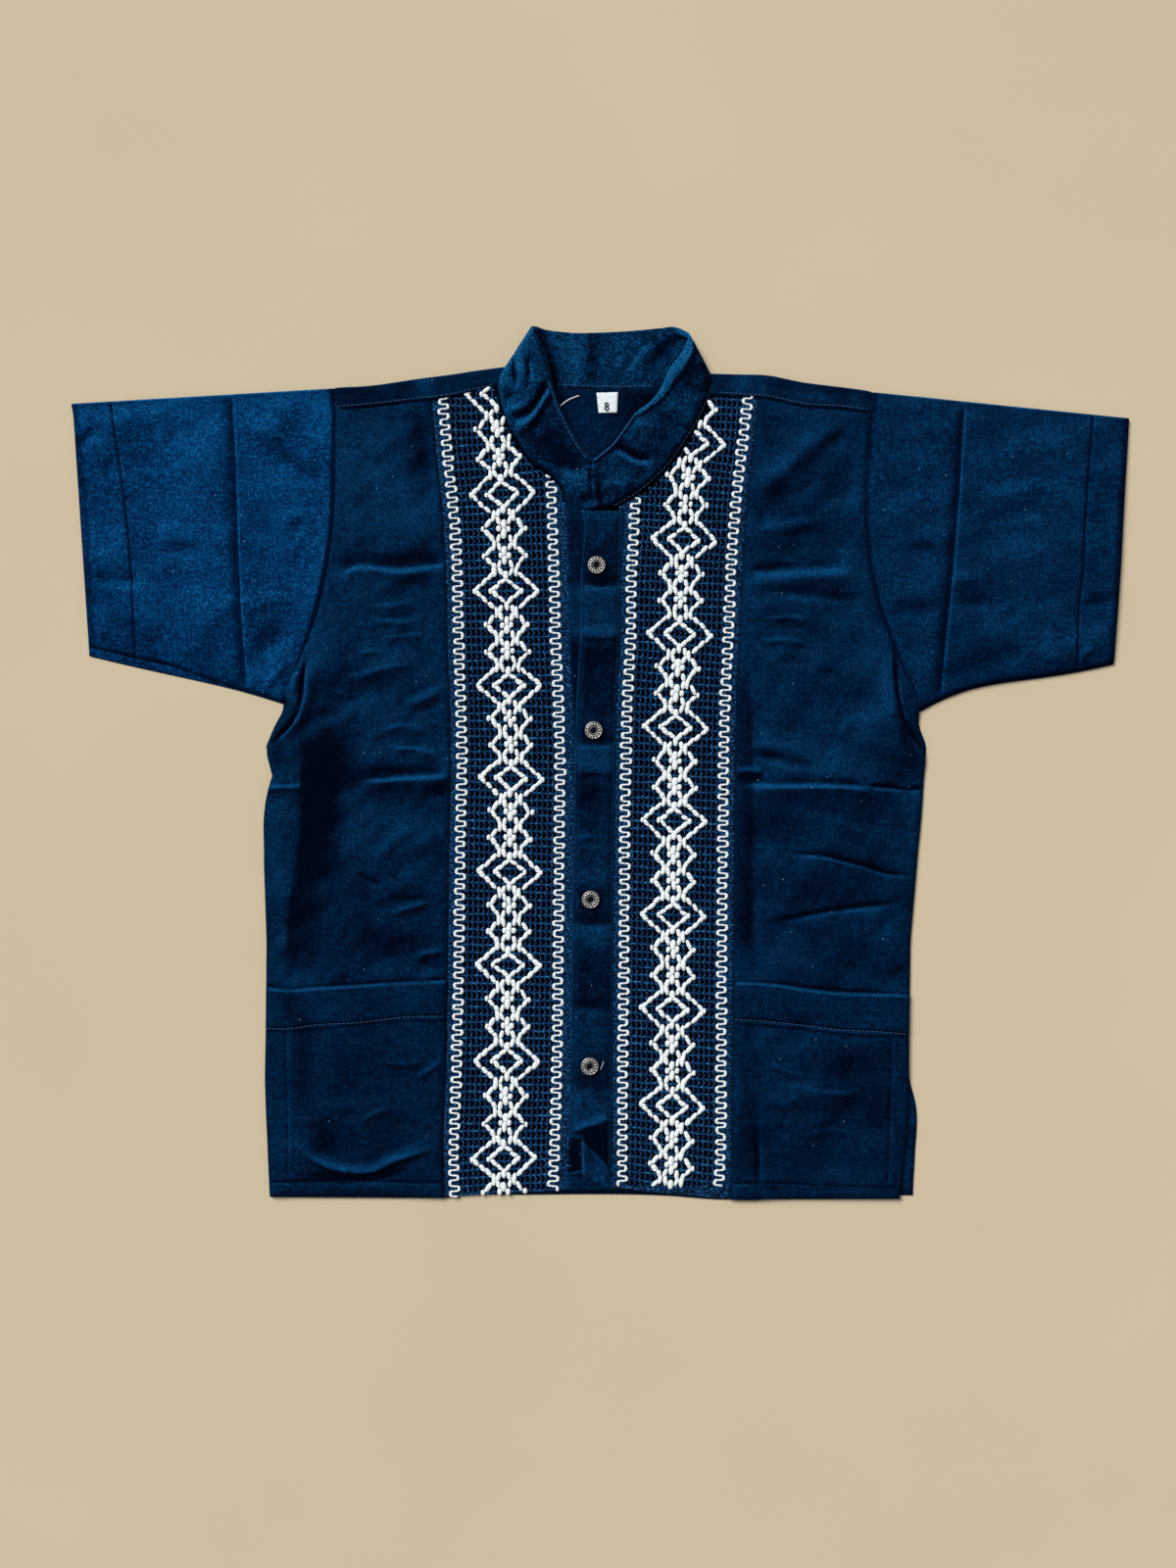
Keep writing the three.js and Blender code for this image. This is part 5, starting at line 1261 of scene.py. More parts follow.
underPlacket = {
    "name": "underPlacket", "seed": 41, "box": (-24, 7, -280, 170), "strewn": 10, "creases": [],
    "thick": 0.6, "spacing": 2.2, "flat": (0.03, 0.46), "shade": "body", "worn": 0.1,
    # Painted shade: darker all down the under placket and in the opening of the tuck near the hem, with two
    # paler patches
    "tone": [
        (-20, 0, 400, 30, 90, -0.22), (-18, 4, 8, 14, 0, 0.2), (-18, 100, 8, 20, 0, 0.15),
        (-20, -262, 9, 11, 0, -0.8)],
}
upperPlacket = {
    "name": "upperPlacket", "seed": 42, "box": (-20, 12, -280, 160), "strewn": 40, "lean": 0, "worn": 0.5,
    "thick": 0.9, "spacing": 1.6, "flat": (0.03, 0.46), "shade": "placket", "strewnRise": 0.2,
    "creases": [
        ridge([(-21, -248), (-17, -248.6), (-13.3, -249.5)], 0.9, 3, 0.8, 0),
        ridge([(-12.8, -249.6), (-2, -260.5), (9, -273)], 1, 0.8, 4, 0.1),
        ridge([(-12.6, -250), (-11.2, -262), (-10.8, -274)], 0.9, 5, 0.8, 0.1),
        ridge([(-19, -244), (-8, -240), (6, -235)], 0.9, 2.5, fade=0.1),
        ridge([(-14, 117), (0, 115.4), (11, 116.6)], -0.7, 5, 1.6, 0),
        ridge([(-14, 84), (0, 82), (11, 83)], 0.6, 5, 2, 0),
        ridge([(-15, 12), (-2, 11), (9, 12)], -0.6, 4, 2, 0),
        ridge([(-15, -8), (-2, -7), (9, -9)], 0.6, 5, 2, 0),
        ridge([(-16, -52), (-10, -50), (-3, -51)], 0.5, 1.6, 2),
        ridge([(-16, -58), (-9, -57), (-2, -60)], 0.4, 1.6, 2),
        ridge([(-16, -107), (-4, -108), (6, -107)], -0.5, 4, 2, 0),
        ridge([(-17, -164), (-5, -163), (5, -165)], -0.5, 5, 2.5, 0)],
    # Painted shade and light in bands across the placket, where it swells and sinks between the buttons
    "tone": [
        (-2, 150, 22, 9, 0, -0.1), (-9, 138, 6, 9, 0, -0.25), (-2, 121, 20, 4.5, 0, -0.3),
        (-3, 112, 20, 3.5, 0, 0.35), (-3, 98, 20, 9, 0, 0.22), (-3, 86, 20, 3.5, 0, 0.35),
        (-4, 70, 20, 9, 0, -0.4), (-4, 48, 20, 13, 0, -0.4), (-4, 34, 20, 5, 0, -0.1), (-4, 4, 20, 8, 0, 0.5),
        (-5, -23, 20, 12, 0, -0.42), (-10, -50, 7, 5, 0, 0.3), (-6, -74, 20, 7, 0, 0.2),
        (-6, -102, 20, 3.5, 0, -0.25), (-6, -114, 20, 5.5, 0, 0.3), (-6, -140, 20, 14, 0, -0.35),
        (-7, -158, 20, 5, 0, -0.28), (-7, -176, 20, 9, 0, 0.12), (-7, -212, 20, 5, 0, -0.2),
        (-14, -221, 7, 4, 0, 0.35), (-5, -238, 14, 2.6, 20, 0.4)],
    # Painted shade and light at the tuck near the hem: a dark opening, a painted shadow over the fold, and a
    # paler flap
    "areas": [
        {"loop": [(-22, -249), (-13.2, -250.3), (-11.6, -273), (-23.5, -273)], "amount": -0.9, "soft": 1.0},
        {"loop": [(-20.6, -244.5), (-8, -242.5), (8, -237), (8.5, -270.5), (-12.2, -249.2),
            (-20.8, -247.4)], "amount": -0.7, "soft": 1.6},
        {"loop": [(-12.6, -250.4), (9.5, -274), (9, -283), (-10.6, -273.6)], "amount": 0.4, "soft": 1.2}],
    # Painted highlights along the tuck's folded edges and along the placket's top
    "toneLines": [
        ridge([(-21.2, -248.1), (-17, -248.6), (-13.3, -249.5)], 1.1, 0.7, fade=0),
        ridge([(-12.8, -249.8), (-2, -260.5), (9, -272.5)], 0.6, 0.6, fade=0.2),
        ridge([(-12.6, -250), (-11.2, -262), (-10.8, -273)], 0.7, 0.6, fade=0.1),
        ridge([(-13, 161.2), (0, 161), (12, 161.4)], 0.4, 0.6, fade=0.1)],
}
plackets = {"placket_right": underPlacket, "placket_left": upperPlacket}
# The under placket also takes the upper placket's painted shade and light
plackets["placket_right"]["tone"] += plackets["placket_left"]["tone"]
# A painted shadow round each button
for spotX, spotY in ((-2.5, 129.7), (-4.4, 20.8), (-6.4, -90.7), (-7.0, -200.5)):
    plackets["placket_left"]["tone"].append((spotX + 0.4, spotY - 0.6, 7.6, 7.6, 0, -0.55))
placketEdge = [(-12.0, 162.6), (-10.3, 154), (-12.6, 124), (-13.3, 82), (-15.8, 36), (-17.2, -15),
               (-18.5, -112), (-19.8, -210), (-20.7, -244)]
placketStitch = [[(x + 2.1, y) for x, y in placketEdge]]
placketSeam = [[(12.0, 161), (11.3, 118), (11.2, 80), (8.9, 40), (8.0, 0), (7.1, -50), (6.7, -130),
                (5.9, -206), (5.4, -262), (5.6, -279)]]
plackets["placket_left"]["stitching"] = placketStitch + placketSeam
placketCloth = {"above": 1.6, "step": 1.6, "grain": 0.25, "least": 1.5, "topOverlap": 2.2}
placketPieces = {node: layCloth(node, {**placketCloth, **look}) for node, look in plackets.items()}
print("plackets laid")


pocketRight = {
    "name": "pocketRightCloth", "seed": 51, "box": (-215, -108, -270, -185),
    "creases": [
        ridge([(-203.6, -246.9), (-195.5, -257), (-183.3, -266), (-169, -270.2), (-148.8, -270.2),
            (-138.6, -265), (-124.4, -260), (-104, -254)], 1.4, 4, 2),
        ridge([(-199.5, -269.2), (-183.3, -274.3), (-169, -276.3), (-142.7, -273.3),
            (-122, -266)], -0.7, 1.8, 3), ridge([(-150, -196), (-132, -200), (-112, -196)], 0.4, 2, 3),
        ridge([(-122, -210), (-112, -203), (-104, -197)], 0.5, 2, 2.5),
        ridge([(-160, -240), (-148, -232), (-136, -230)], 0.4, 2, 3)],
    # Painted shade and light: darker over the pocket, in a band down its side and in patches, a little paler
    # along its outer edge
    "tone": [
        (-160, -220, 70, 70, 0, -0.24), (-196, -195, 24, 6, 90, -0.35), (-182, -247, 9, 10, 0, -0.35),
        (-150, -262, 24, 5, 0, -0.1), (-213, -230, 60, 6, 90, 0.05), (-205, -160, 12, 6, 90, -0.3),
        (-200, -228, 12, 5, 90, -0.12)],
    # Painted light and shade along lines: beside the curved crease near the bottom, a painted highlight on
    # the folded mouth edge, and dark lines under the hem and along the bottom
    "toneLines": [
        ridge([(-203.6, -246.9), (-195.5, -257), (-183.3, -265), (-169, -269), (-148.8, -269),
            (-138.6, -264), (-124.4, -259), (-104, -253)], 0.4, 2.6, 2.2),
        ridge([(-199.5, -269.6), (-183.3, -274.8), (-169, -276.6), (-142.7, -273.6),
            (-122, -266.6)], -0.55, 2.2),
        ridge([(-221, -149.6), (-211.7, -151.4), (-189.4, -150.2), (-163, -148.6), (-132.5, -146.1),
            (-102, -145.2)], 1, 0.8, 0.7, 0),
        ridge([(-219.8, -177.9), (-189.4, -176.2), (-159, -173.2), (-130, -170.6),
            (-102, -170.2)], -0.6, 0.7, 0.9, 0),
        ridge([(-218, -277.8), (-160, -277.4), (-103, -278)], -0.45, 0.7, fade=0)],
    "steps": [{"path": [(-240, -176), (-211, -176.5), (-187, -173.6), (-159, -172), (-123, -168),
                        (-90, -168)], "rise": 0.35, "width": 0.8}],
    "stitching": [
        [(-220.5, -176), (-211, -176.5), (-187, -173.6), (-159, -172), (-123, -168), (-103, -168)],
        [(-208, -179), (-206.6, -230), (-206, -277)], [(-218.5, -278), (-160, -277.2), (-103.5, -278.4)]],
}
pocketLeft = {
    "name": "pocketLeftCloth", "seed": 52, "box": (92, 196, -270, -185),
    "creases": [
        ridge([(120, -212), (150, -219), (176, -218)], 0.4, 2, 5),
        ridge([(102, -236), (104, -260), (105, -284)], -1, 2, 1.6),
        ridge([(108, -196), (124, -205), (140, -208)], 0.4, 2, 3),
        ridge([(130, -250), (148, -244), (170, -247)], 0.4, 2, 4)],
    # Painted shade and light: darker over the pocket, in patches and along its inner edge, paler in a few
    # places
    "tone": [
        (150, -220, 70, 70, 0, -0.18), (160, -198, 12, 9, 0, -0.3), (138, -216, 14, 8, 0, 0.15),
        (184, -222, 10, 28, 0, -0.12), (170, -272, 20, 6, 0, 0.15), (98, -225, 6, 60, 0, -0.2),
        (175, -183, 20, 4, 0, 0.12)],
    # Painted light and shade along lines: down the crease by the inner edge, a painted highlight on the
    # folded mouth edge, and dark lines under the hem and along the bottom
    "toneLines": [
        ridge([(103, -238), (104, -260), (105, -283)], -0.5, 1.6),
        ridge([(89, -146.2), (110.5, -147.1), (130.8, -150.2), (147, -152.4), (165.3, -153.8),
            (185.6, -154.3), (205, -154.8)], 0.9, 0.8, 0.7, 0),
        ridge([(88, -172.2), (126.7, -175.4), (161.3, -179.4), (203, -181)], -0.6, 0.7, 0.9, 0),
        ridge([(103, -280), (149, -281.8), (197, -283)], -0.4, 0.7, fade=0)],
    "steps": [{"path": [(80, -170), (101, -170.6), (126, -173), (156, -176.5), (186, -178.4),
                        (215, -181)], "rise": 0.35, "width": 0.8}],
    "stitching": [
        [(88.5, -170), (101, -170.6), (126, -173), (156, -176.5), (186, -178.4), (202.5, -180)],
        [(193, -183), (192, -225), (190.5, -278)], [(88, -279), (114, -279), (150, -280.6), (195, -282)]],
}
pockets = {"pocket_right": pocketRight, "pocket_left": pocketLeft}
pocketCloth = {"above": 2.8, "step": 2.2, "spacing": 2.2, "thick": 0.55, "grain": 0.2, "least": 2.9,
               "flat": (0.12, 0.145), "strewn": 22, "strewnRise": 0.15}
pocketPieces = {node: layCloth(node, {**pocketCloth, **look}) for node, look in pockets.items()}
print("pockets laid")


# Armhole seam and sleeve end at the same place round the sleeve, from the shoulder to the armpit, and
# last the edge of the under layer
sleeveRight = {
    "name": "sleeveRightCloth", "shade": "sleeveRight", "out": -1, "seed": 61, "strewn": 46,
    "box": (-300, -190, 70, 230), "lean": 80, "strewnRise": 0.17,
    "rows": [
        (-178, 247.3, -350, 237.2), (-175.4, 233, -347.6, 223), (-175.2, 216, -346, 209),
        (-175.5, 180, -343.2, 178), (-177.3, 152.4, -341.9, 150), (-183, 118.6, -340.4, 122),
        (-190.1, 92, -338.8, 104), (-197.9, 71.2, -338.4, 92), (-204.4, 58.8, -338.1, 84),
        (-210.2, 46.5, -338, 77.5)],
    "under": (-211.4, 38.8, -338.7, 70.2), "bow": 1.6,
    "peek": [(0, 6.3), (0.42, 6.4), (0.6, 3.2), (0.75, 1.3), (1, 1)],
    "fold": [(-244, 243), (-241.3, 199), (-239.7, 152.5), (-238.3, 118), (-236.2, 81.4), (-234.2, 48)],
    "creases": [
        ridge([(-228, 226), (-217, 217), (-206, 210)], 0.8, 5, 4),
        ridge([(-216, 205), (-200, 194), (-181, 184)], -0.9, 4),
        ridge([(-208, 162), (-203, 161), (-196, 163)], 0.8, 2.5),
        ridge([(-206, 156), (-200, 154), (-195, 156)], -0.7, 2, 2.5),
        ridge([(-292, 150), (-285, 153), (-276, 151)], 0.6, 2, 3),
        ridge([(-291, 141), (-280, 139.5), (-267, 140)], -0.8, 3),
        ridge([(-339, 138), (-330, 141), (-318, 148)], -0.6, 1.3),
        ridge([(-339, 126), (-330, 122), (-318, 120), (-300, 119)], -1, 4),
        ridge([(-346, 208), (-338, 215), (-330, 221)], -0.9, 3),
        ridge([(-296, 78), (-290, 84), (-288, 90)], -0.6, 2),
        ridge([(-198, 112), (-225, 104), (-262, 101)], 0.5, 3, 5),
        ridge([(-222, 46), (-216, 56), (-208, 64)], 0.8, 2.5),
        ridge([(-230, 60), (-220, 74), (-206, 88)], -0.6, 5)],
    # Painted shade and light beside the sleeve's creases and folds
    "tone": [
        (-188, 118, 32, 6, 72, 0.25), (-186, 225, 8, 22, 0, 0.12), (-216, 217, 14, 6, -35, 0.15),
        (-200, 193, 20, 7, -30, -0.18), (-328, 122, 11, 5, -12, -0.25), (-338, 214, 10, 5, 40, -0.2),
        (-280, 142, 14, 4, 0, -0.2), (-215, 82, 16, 10, 30, -0.15), (-300, 60, 40, 6, -13, -0.3),
        (-215, 52, 8, 9, 30, 0.15), (-245, 52, 12, 6, -13, -0.25)],
    "stitching": [[(-324, 238), (-317, 191), (-312, 151), (-309, 110), (-308, 69.5)]],
}
sleeveLeft = {
    "name": "sleeveLeftCloth", "shade": "sleeveLeft", "out": 1, "seed": 62, "strewn": 46,
    "box": (190, 300, 70, 220), "lean": 100, "strewnRise": 0.17,
    "rows": [
        (182, 244.7, 350, 227.6), (179.1, 230.4, 348.9, 212), (177.1, 201.8, 347.2, 186),
        (175.2, 166.7, 345.4, 154), (176.5, 145.6, 344.3, 134), (179.1, 124.5, 343.2, 117),
        (184.3, 103.4, 342.2, 102), (192.7, 80.9, 341.2, 88), (199.2, 64.7, 340.6, 78),
        (208.3, 47.8, 340.1, 69), (211.8, 38, 339.9, 65.3)],
    "under": (212.6, 33.6, 339.9, 64.6), "bow": 6.4, "peek": [(0, 1), (1, 1)],
    "fold": [
        (240.7, 236), (239, 209.4), (236.6, 172.8), (233.4, 136), (231, 109.8), (228.9, 87.5), (226.9, 67.2),
        (225.3, 42)],
    "creases": [
        ridge([(248, 172), (270, 177), (296, 184)], 0.8, 5, 4),
        ridge([(250, 160), (272, 162), (300, 168)], -0.9, 6, 5),
        ridge([(204, 141), (212, 140), (222, 142)], -0.9, 2.5, 3),
        ridge([(190, 104), (208, 100), (228, 102)], -0.9, 5),
        ridge([(231, 119), (244, 121), (258, 119)], 0.8, 3.5, 3),
        ridge([(231, 107), (246, 105), (262, 107)], -0.7, 3),
        ridge([(320, 107), (332, 105), (342, 106)], -0.9, 4, 3),
        ridge([(262, 96), (268, 101), (276, 104)], 0.5, 2),
        ridge([(318, 66), (322, 72), (328, 78)], 0.7, 1.8),
        ridge([(200, 232), (216, 236), (232, 232)], 0.6, 4)],
    # Painted shade and light beside the sleeve's creases and folds
    "tone": [
        (272, 177, 26, 6, 14, 0.2), (276, 158, 30, 10, 10, -0.2), (213, 140, 10, 3.5, 0, -0.25),
        (208, 101, 22, 8, 0, -0.2), (245, 120, 14, 4, 0, 0.2), (246, 106, 16, 4, 0, -0.18),
        (331, 106, 12, 4, 0, -0.25), (330, 136, 14, 12, 0, -0.12), (290, 225, 40, 6, -6, -0.15),
        (300, 90, 30, 20, 0, 0.06), (202, 50, 6, 6, 0, -0.1)],
    "stitching": [[(326, 228), (323, 195), (321, 167), (319.5, 139), (319, 124), (317, 110), (316, 64)]],
}
sleeves = {"sleeve_right": sleeveRight, "sleeve_left": sleeveLeft}
sleeve = {"stations": 62, "step": 2.6, "shell": 0.45, "seamGap": 0.3, "underTop": 0.95, "tuck": 7.0,
          "allowance": 1.7, "allowanceLift": 1.15, "upperPoints": 72, "underPoints": 40,
          "flat": (0.17, 0.36), "length": 165, "beside": (-2.4, -1.6, -1.0, -0.5, 0, 0.5, 1.0, 1.6, 2.4)}


# Where each row round the sleeve crosses a line that runs round it: 0 at the sleeve's end, 1 at its armhole
def crossings(rows, path):
    share = np.linspace(0, 1, 500)[:, None]
    x = rows[:, 2] * (1 - share) + rows[:, 0] * share
    y = rows[:, 3] * (1 - share) + rows[:, 1] * share
    line = np.array(sorted((b, a) for a, b in path))
    return share[np.abs(x - np.interp(y, line[:, 0], line[:, 1])).argmin(0), 0]


def makeSleeve(node, look):
    base = readHeights(node)
    rows = np.array(look["rows"])
    under = np.array(look["under"])
    middle = (rows[:, :2] + rows[:, 2:]) / 2
    dense = curveThrough(np.column_stack([middle, rows]), sleeve["step"])[:, 2:]
    dense[:, 0] += look["out"] * sleeve["seamGap"]
    kept = [crossings(dense, look["stitching"][0]), crossings(dense, look["fold"])]
    marks = [places.mean() for places in kept]
    even = np.linspace(0, 1, sleeve["stations"])
    close = np.concatenate([mark + np.array(sleeve["beside"]) / sleeve["length"] for mark in marks])
    apart = np.abs(even[:, None] - np.array(marks)).min(1) * sleeve["length"]
    layout = np.sort(np.concatenate([even[apart > 3.4], close]))
    grid = []
    for place in layout:
        share = np.array([np.interp(place, [0, *marks, 1], [0, a, b, 1]) for a, b in zip(*kept)])[:, None]
        edges = dense[:, 2:] * (1 - share) + dense[:, :2] * share
        last = share[-1, 0]
        low = under[2:] * (1 - last) + under[:2] * last
        low[1] += look["bow"] * math.sin(math.pi * last**2)
        edges = edges[::-1]
        lift = low[1] + np.interp(last, *zip(*look["peek"])) - edges[0, 1]
        edges[:, 1] += lift * bell(np.linalg.norm(edges - edges[0], axis=1), 24)
        grid.append(np.vstack([edges, low]))
    plan = np.array(grid)
    upper = plan[:, :-1]
    x, y = upper[..., 0].ravel(), upper[..., 1].ravel()
    fromEnd = np.minimum(layout, 1 - layout)[:, None] * sleeve["length"]
    fromLow = np.linalg.norm(upper - upper[:, :1], axis=-1)
    fromFold = np.linalg.norm(upper - upper[:, -1:], axis=-1)
    edge = np.minimum(np.minimum(fromLow, fromFold), fromEnd)
    settle = smoothRise(edge / 16)
    strewn = strewnCreases(look["box"], look["strewn"], look["lean"], look["seed"], look["strewnRise"])
    detail = (swell(x, y, look["seed"], 0.28) + creaseHeight(strewn, x, y)).reshape(edge.shape) * settle
    pressedFoldAndPaintedShade = [ridge(look["fold"], -0.9, 1.0, 4.5, 0.04)]
    detail += creaseHeight(look["creases"] + pressedFoldAndPaintedShade, x, y).reshape(edge.shape)
    detail += creaseHeight(grooves(look["stitching"]), x, y).reshape(edge.shape)
    level = np.maximum(base(x, y).reshape(edge.shape), 2.55) + detail
    level -= 0.22 * bell(fromEnd, 1.2) + 0.3 * bell(fromLow, 1.3)
    level = np.maximum(level, 1.9)
    stations = []
    for k in range(len(layout)):
        line = np.column_stack([upper[k], level[k]])
        top, before = upper[k, -1], upper[k, -4]
        toward = (top - before) / np.linalg.norm(top - before)
        radius = level[k, -3] / 2
        keep = fromFold[k] > radius + 0.8
        centre = top - toward * radius
        angles = np.radians(np.arange(90, -91, -18))
        roll = [np.append(centre + toward * radius * math.cos(a), radius + radius * math.sin(a))
                for a in angles]
        lowEdge = plan[k, -1]
        outward = (lowEdge - upper[k, 6]) / np.linalg.norm(lowEdge - upper[k, 6])
        small = sleeve["underTop"] / 2
        centreLow = lowEdge - outward * small
        floorPart = resample(np.array([centre, centreLow]), sleeve["underPoints"])[1:-1]
        turn = [np.append(centreLow + outward * small * math.cos(a), small + small * math.sin(a))
                for a in np.radians(np.arange(-90, 91, 30))]
        tuck = [np.append(centreLow - outward * d, sleeve["underTop"]) for d in (2.5, sleeve["tuck"])]
        stations.append(np.vstack([resample(line[keep], sleeve["upperPoints"]), roll,
                                   np.column_stack([floorPart, np.zeros(len(floorPart))]), turn, tuck]))
    allowance = stations[-1] - (look["out"] * sleeve["allowance"], 0, 0)
    allowance[:, 2] = sleeve["allowanceLift"] + 0.2 * allowance[:, 2]
    grid = np.array(stations + [allowance])
    worn = np.zeros(grid.shape[:2])
    # Painted shade along the sleeve's edges and on part of its rolled fold
    edges = np.zeros(grid.shape[:2])
    edges[:2] = -0.35
    edges[-2:] = -0.9
    edges[:, :1] = edges[:, 76:80] = -0.3
    # Painted shade: a dark line along the stitch row and along the pressed fold
    lines = [ridge(look["stitching"][0], -0.9, 0.7, fade=0),
             ridge(look["fold"], -0.5, 0.9, 3.5, 0.04)]
    if look["out"] < 0:
        grid, worn, edges = grid[::-1], worn[::-1], edges[::-1]
    tone = paintedShading(look["tone"], lines)
    return gridShell(grid, sleeve["shell"], worn, lambda x, y: tone(x, y) + edges.ravel())


for node, look in sleeves.items():
    part = makeSleeve(node, look)
    addPiece(look["name"], [part], look["shade"], node=node)
    surfaces[node] = part
print("sleeves laid")


# Seam edge and top edge, from the lower right end round the neck to the upper left end
collar = {
    "wall": 1.1, "spacing": 1.6, "profile": 34, "angles": [25, 50, 75, 90, 105, 130, 155],
    "bulge": 2.2, "baseShift": 2.4, "topShift": 2.2,
    "frontRight": [
        (3, 169, 3, 194, 2.6, 1), (-10.4, 164, -9.5, 205, 2.9, 1.4),
        (-18.1, 170.4, -16.6, 215.2, 3.3, 1.8), (-32, 188.2, -25.7, 233, 3.8, 2.4),
        (-43.9, 196.4, -30, 245, 4, 3.2), (-54.3, 210.4, -32.2, 255, 4, 4),
        (-60.8, 222, -34.8, 265.5, 4, 4.4), (-65.4, 236, -38.7, 274.5, 4.2, 4.2),
        (-67.6, 248, -42.6, 282.6, 4.4, 3.2)],
    "back": [
        (-62, 257.6, -43.6, 288.8), (-48, 251.6, -36, 286.4), (-31, 248.6, -21, 284.5),
        (-3, 246.8, -3, 284.4), (20, 246.7, 22, 285.7), (37, 247.2, 40, 287.4),
        (55, 250.6, 49, 288.2), (69, 255.8, 55.6, 286)],
    "frontLeft": [
        (74.6, 248, 57, 276, 4.4, 4.6), (72.4, 241.4, 52.6, 267.6, 4.4, 5.4),
        (65.3, 225.6, 46.1, 259, 4.4, 6), (54.9, 209, 38.5, 243.4, 4.4, 6),
        (46.1, 196.4, 32, 235.6, 4.4, 5.4), (35.9, 185.9, 24.4, 230.4, 4.6, 4.4),
        (23.1, 175.6, 16.6, 220.3, 5, 3.4), (10.1, 168.2, 8.8, 210, 5, 2.6),
        (-3.4, 165, -4.4, 199, 5.2, 2)],
    "creases": [
        ridge([(-56, 276), (-56.5, 259.5), (-54, 246)], -1.7, 2, 1.6),
        ridge([(-51, 272), (-50.5, 258), (-49, 246)], 0.9, 2.5),
        ridge([(-46.5, 268), (-46.5, 258), (-45, 250)], -0.9, 1.6),
        ridge([(-34.6, 249.5), (-39.9, 238.4), (-46.4, 230.3), (-53, 227),
            (-59, 226)], -2.6, 1.5, 2.4, 0.15),
        ridge([(-31.8, 245), (-38.3, 235), (-44.8, 225.4), (-51.3, 220.5), (-57, 216)], 1.8, 2.4, 1.8, 0.2),
        ridge([(-38, 226), (-45, 217), (-53, 211)], -0.5, 3, 1.8),
        ridge([(-64, 232), (-55, 232.5), (-47, 236)], 1.2, 2.2, 1.8),
        ridge([(-66, 238), (-60, 240), (-54, 244)], -0.8, 2),
        ridge([(8, 210.6), (17, 204), (26.7, 199.2), (35, 197.6)], -2.5, 2.6, 1.5, 0.25),
        ridge([(8, 205), (18, 198), (31, 192)], 1.1, 1.9, 4.5),
        ridge([(-26, 190), (-16, 182), (-9, 171)], 1.2, 3),
        ridge([(-31, 197), (-20, 193), (-8, 190)], -1, 4, 2.5),
        ridge([(-8, 198), (-8.5, 186), (-7, 174)], 0.7, 2),
        ridge([(2, 186), (14, 182), (24, 184)], 0.7, 3, 4),
        ridge([(44, 236), (54, 224), (58, 216)], 0.6, 4),
        ridge([(64, 268), (68, 256), (70, 246)], 0.8, 3)],
    "backCreases": [
        ridge([(16, 254), (22, 262), (28.4, 270.9), (39, 278)], 1.9, 1.6, 2.5),
        ridge([(28, 258), (35, 266), (43, 274)], -1.4, 2),
        ridge([(24, 253), (30, 261), (35, 264)], 1.3, 1.8, 2),
        ridge([(7, 252), (12, 262), (19, 270)], 1.2, 2, 3.5),
        ridge([(-10, 250), (-9, 266), (-8, 282)], 1.2, 2, 6),
        ridge([(-25, 250), (-24, 266), (-23, 282)], 1.3, 5, 2)],
    # The strip where the left front's top edge turns over, its reach from the top edge by place (y): painted
    # paler as painted light, with a painted shadow line below it
    "strip": [(199, 1.3), (226, 1.5), (232, 2.4), (236, 3.8), (240, 5.6), (250, 7.8), (270, 7.6), (280, 4.8)],
    "stripPaintedLight": 1.35, "stripGroove": 0.7, "stripShade": 2.4, "stripFrom": 0.62, "skirt": 2.3,
    # Painted shade and light on the collar: painted shadows in its folds and at the front, paler where it
    # turns toward the light
    "tone": [
        (-27, 203, 14, 10, -40, -0.5), (-41, 213, 9, 5, 40, -0.3), (-56, 231.5, 8, 4, 15, 0.35),
        (14, 188, 17, 8, 35, 0.22), (-16, 183, 8, 5, -35, 0.25), (-8, 169, 4.5, 4, 0, 0.3),
        (-17, 268, 6, 18, 0, 0.35), (-5, 268, 4, 16, 0, -0.5), (42, 273, 12, 4, 48, -0.6),
        (-1.5, 174, 3, 8, 0, -0.6), (50, 281, 9, 4, 20, -0.45), (36, 269, 9, 3, 45, -0.35),
        (-60, 266, 4, 12, 0, 0.15), (57, 226, 8, 22, -28, 0.4), (36, 186, 14, 6, 38, 0.35),
        (-33, 282, 5, 9, 0, 0.2), (12, 274, 5, 12, -20, 0.2), (30, 250, 10, 4, 0, 0.2),
        (-28, 255, 6, 4, 0, 0.25), (-8, 200, 4, 8, 0, -0.2)],
    # Painted shade and light along lines: shadows in the collar's roll and creases, a paler ridge at the
    # back, and a light line with a shadow beside it at the front seam
    "toneLines": [
        ridge([(-45, 287), (-41, 278), (-37, 268), (-33, 258), (-30.5, 249)], -0.9, 5.5, 0.9, 0.1),
        ridge([(-34.6, 249.5), (-39.9, 238.4), (-46.4, 230.3), (-53, 227)], -0.9, 1.1, 1.8, 0.15),
        ridge([(-56, 276), (-56.5, 259.5), (-54, 246)], -0.5, 1.6),
        ridge([(8, 210.6), (17, 204), (26.7, 199.2), (34, 197.6)], -1, 1.6, 1.3, 0.3),
        ridge([(16, 255), (22, 262), (28.4, 270.9), (38, 277.4)], 0.6, 2),
        ridge([(-4.1, 197.8), (-5.3, 188), (-4.1, 178.3), (-2.9, 167)], 0.7, 0.7, fade=0),
        ridge([(-1.6, 190), (-2.3, 184), (-1.4, 176), (0.5, 168)], -0.5, 2.2, 1)],
    "flat": (0.34, 0.045),
}


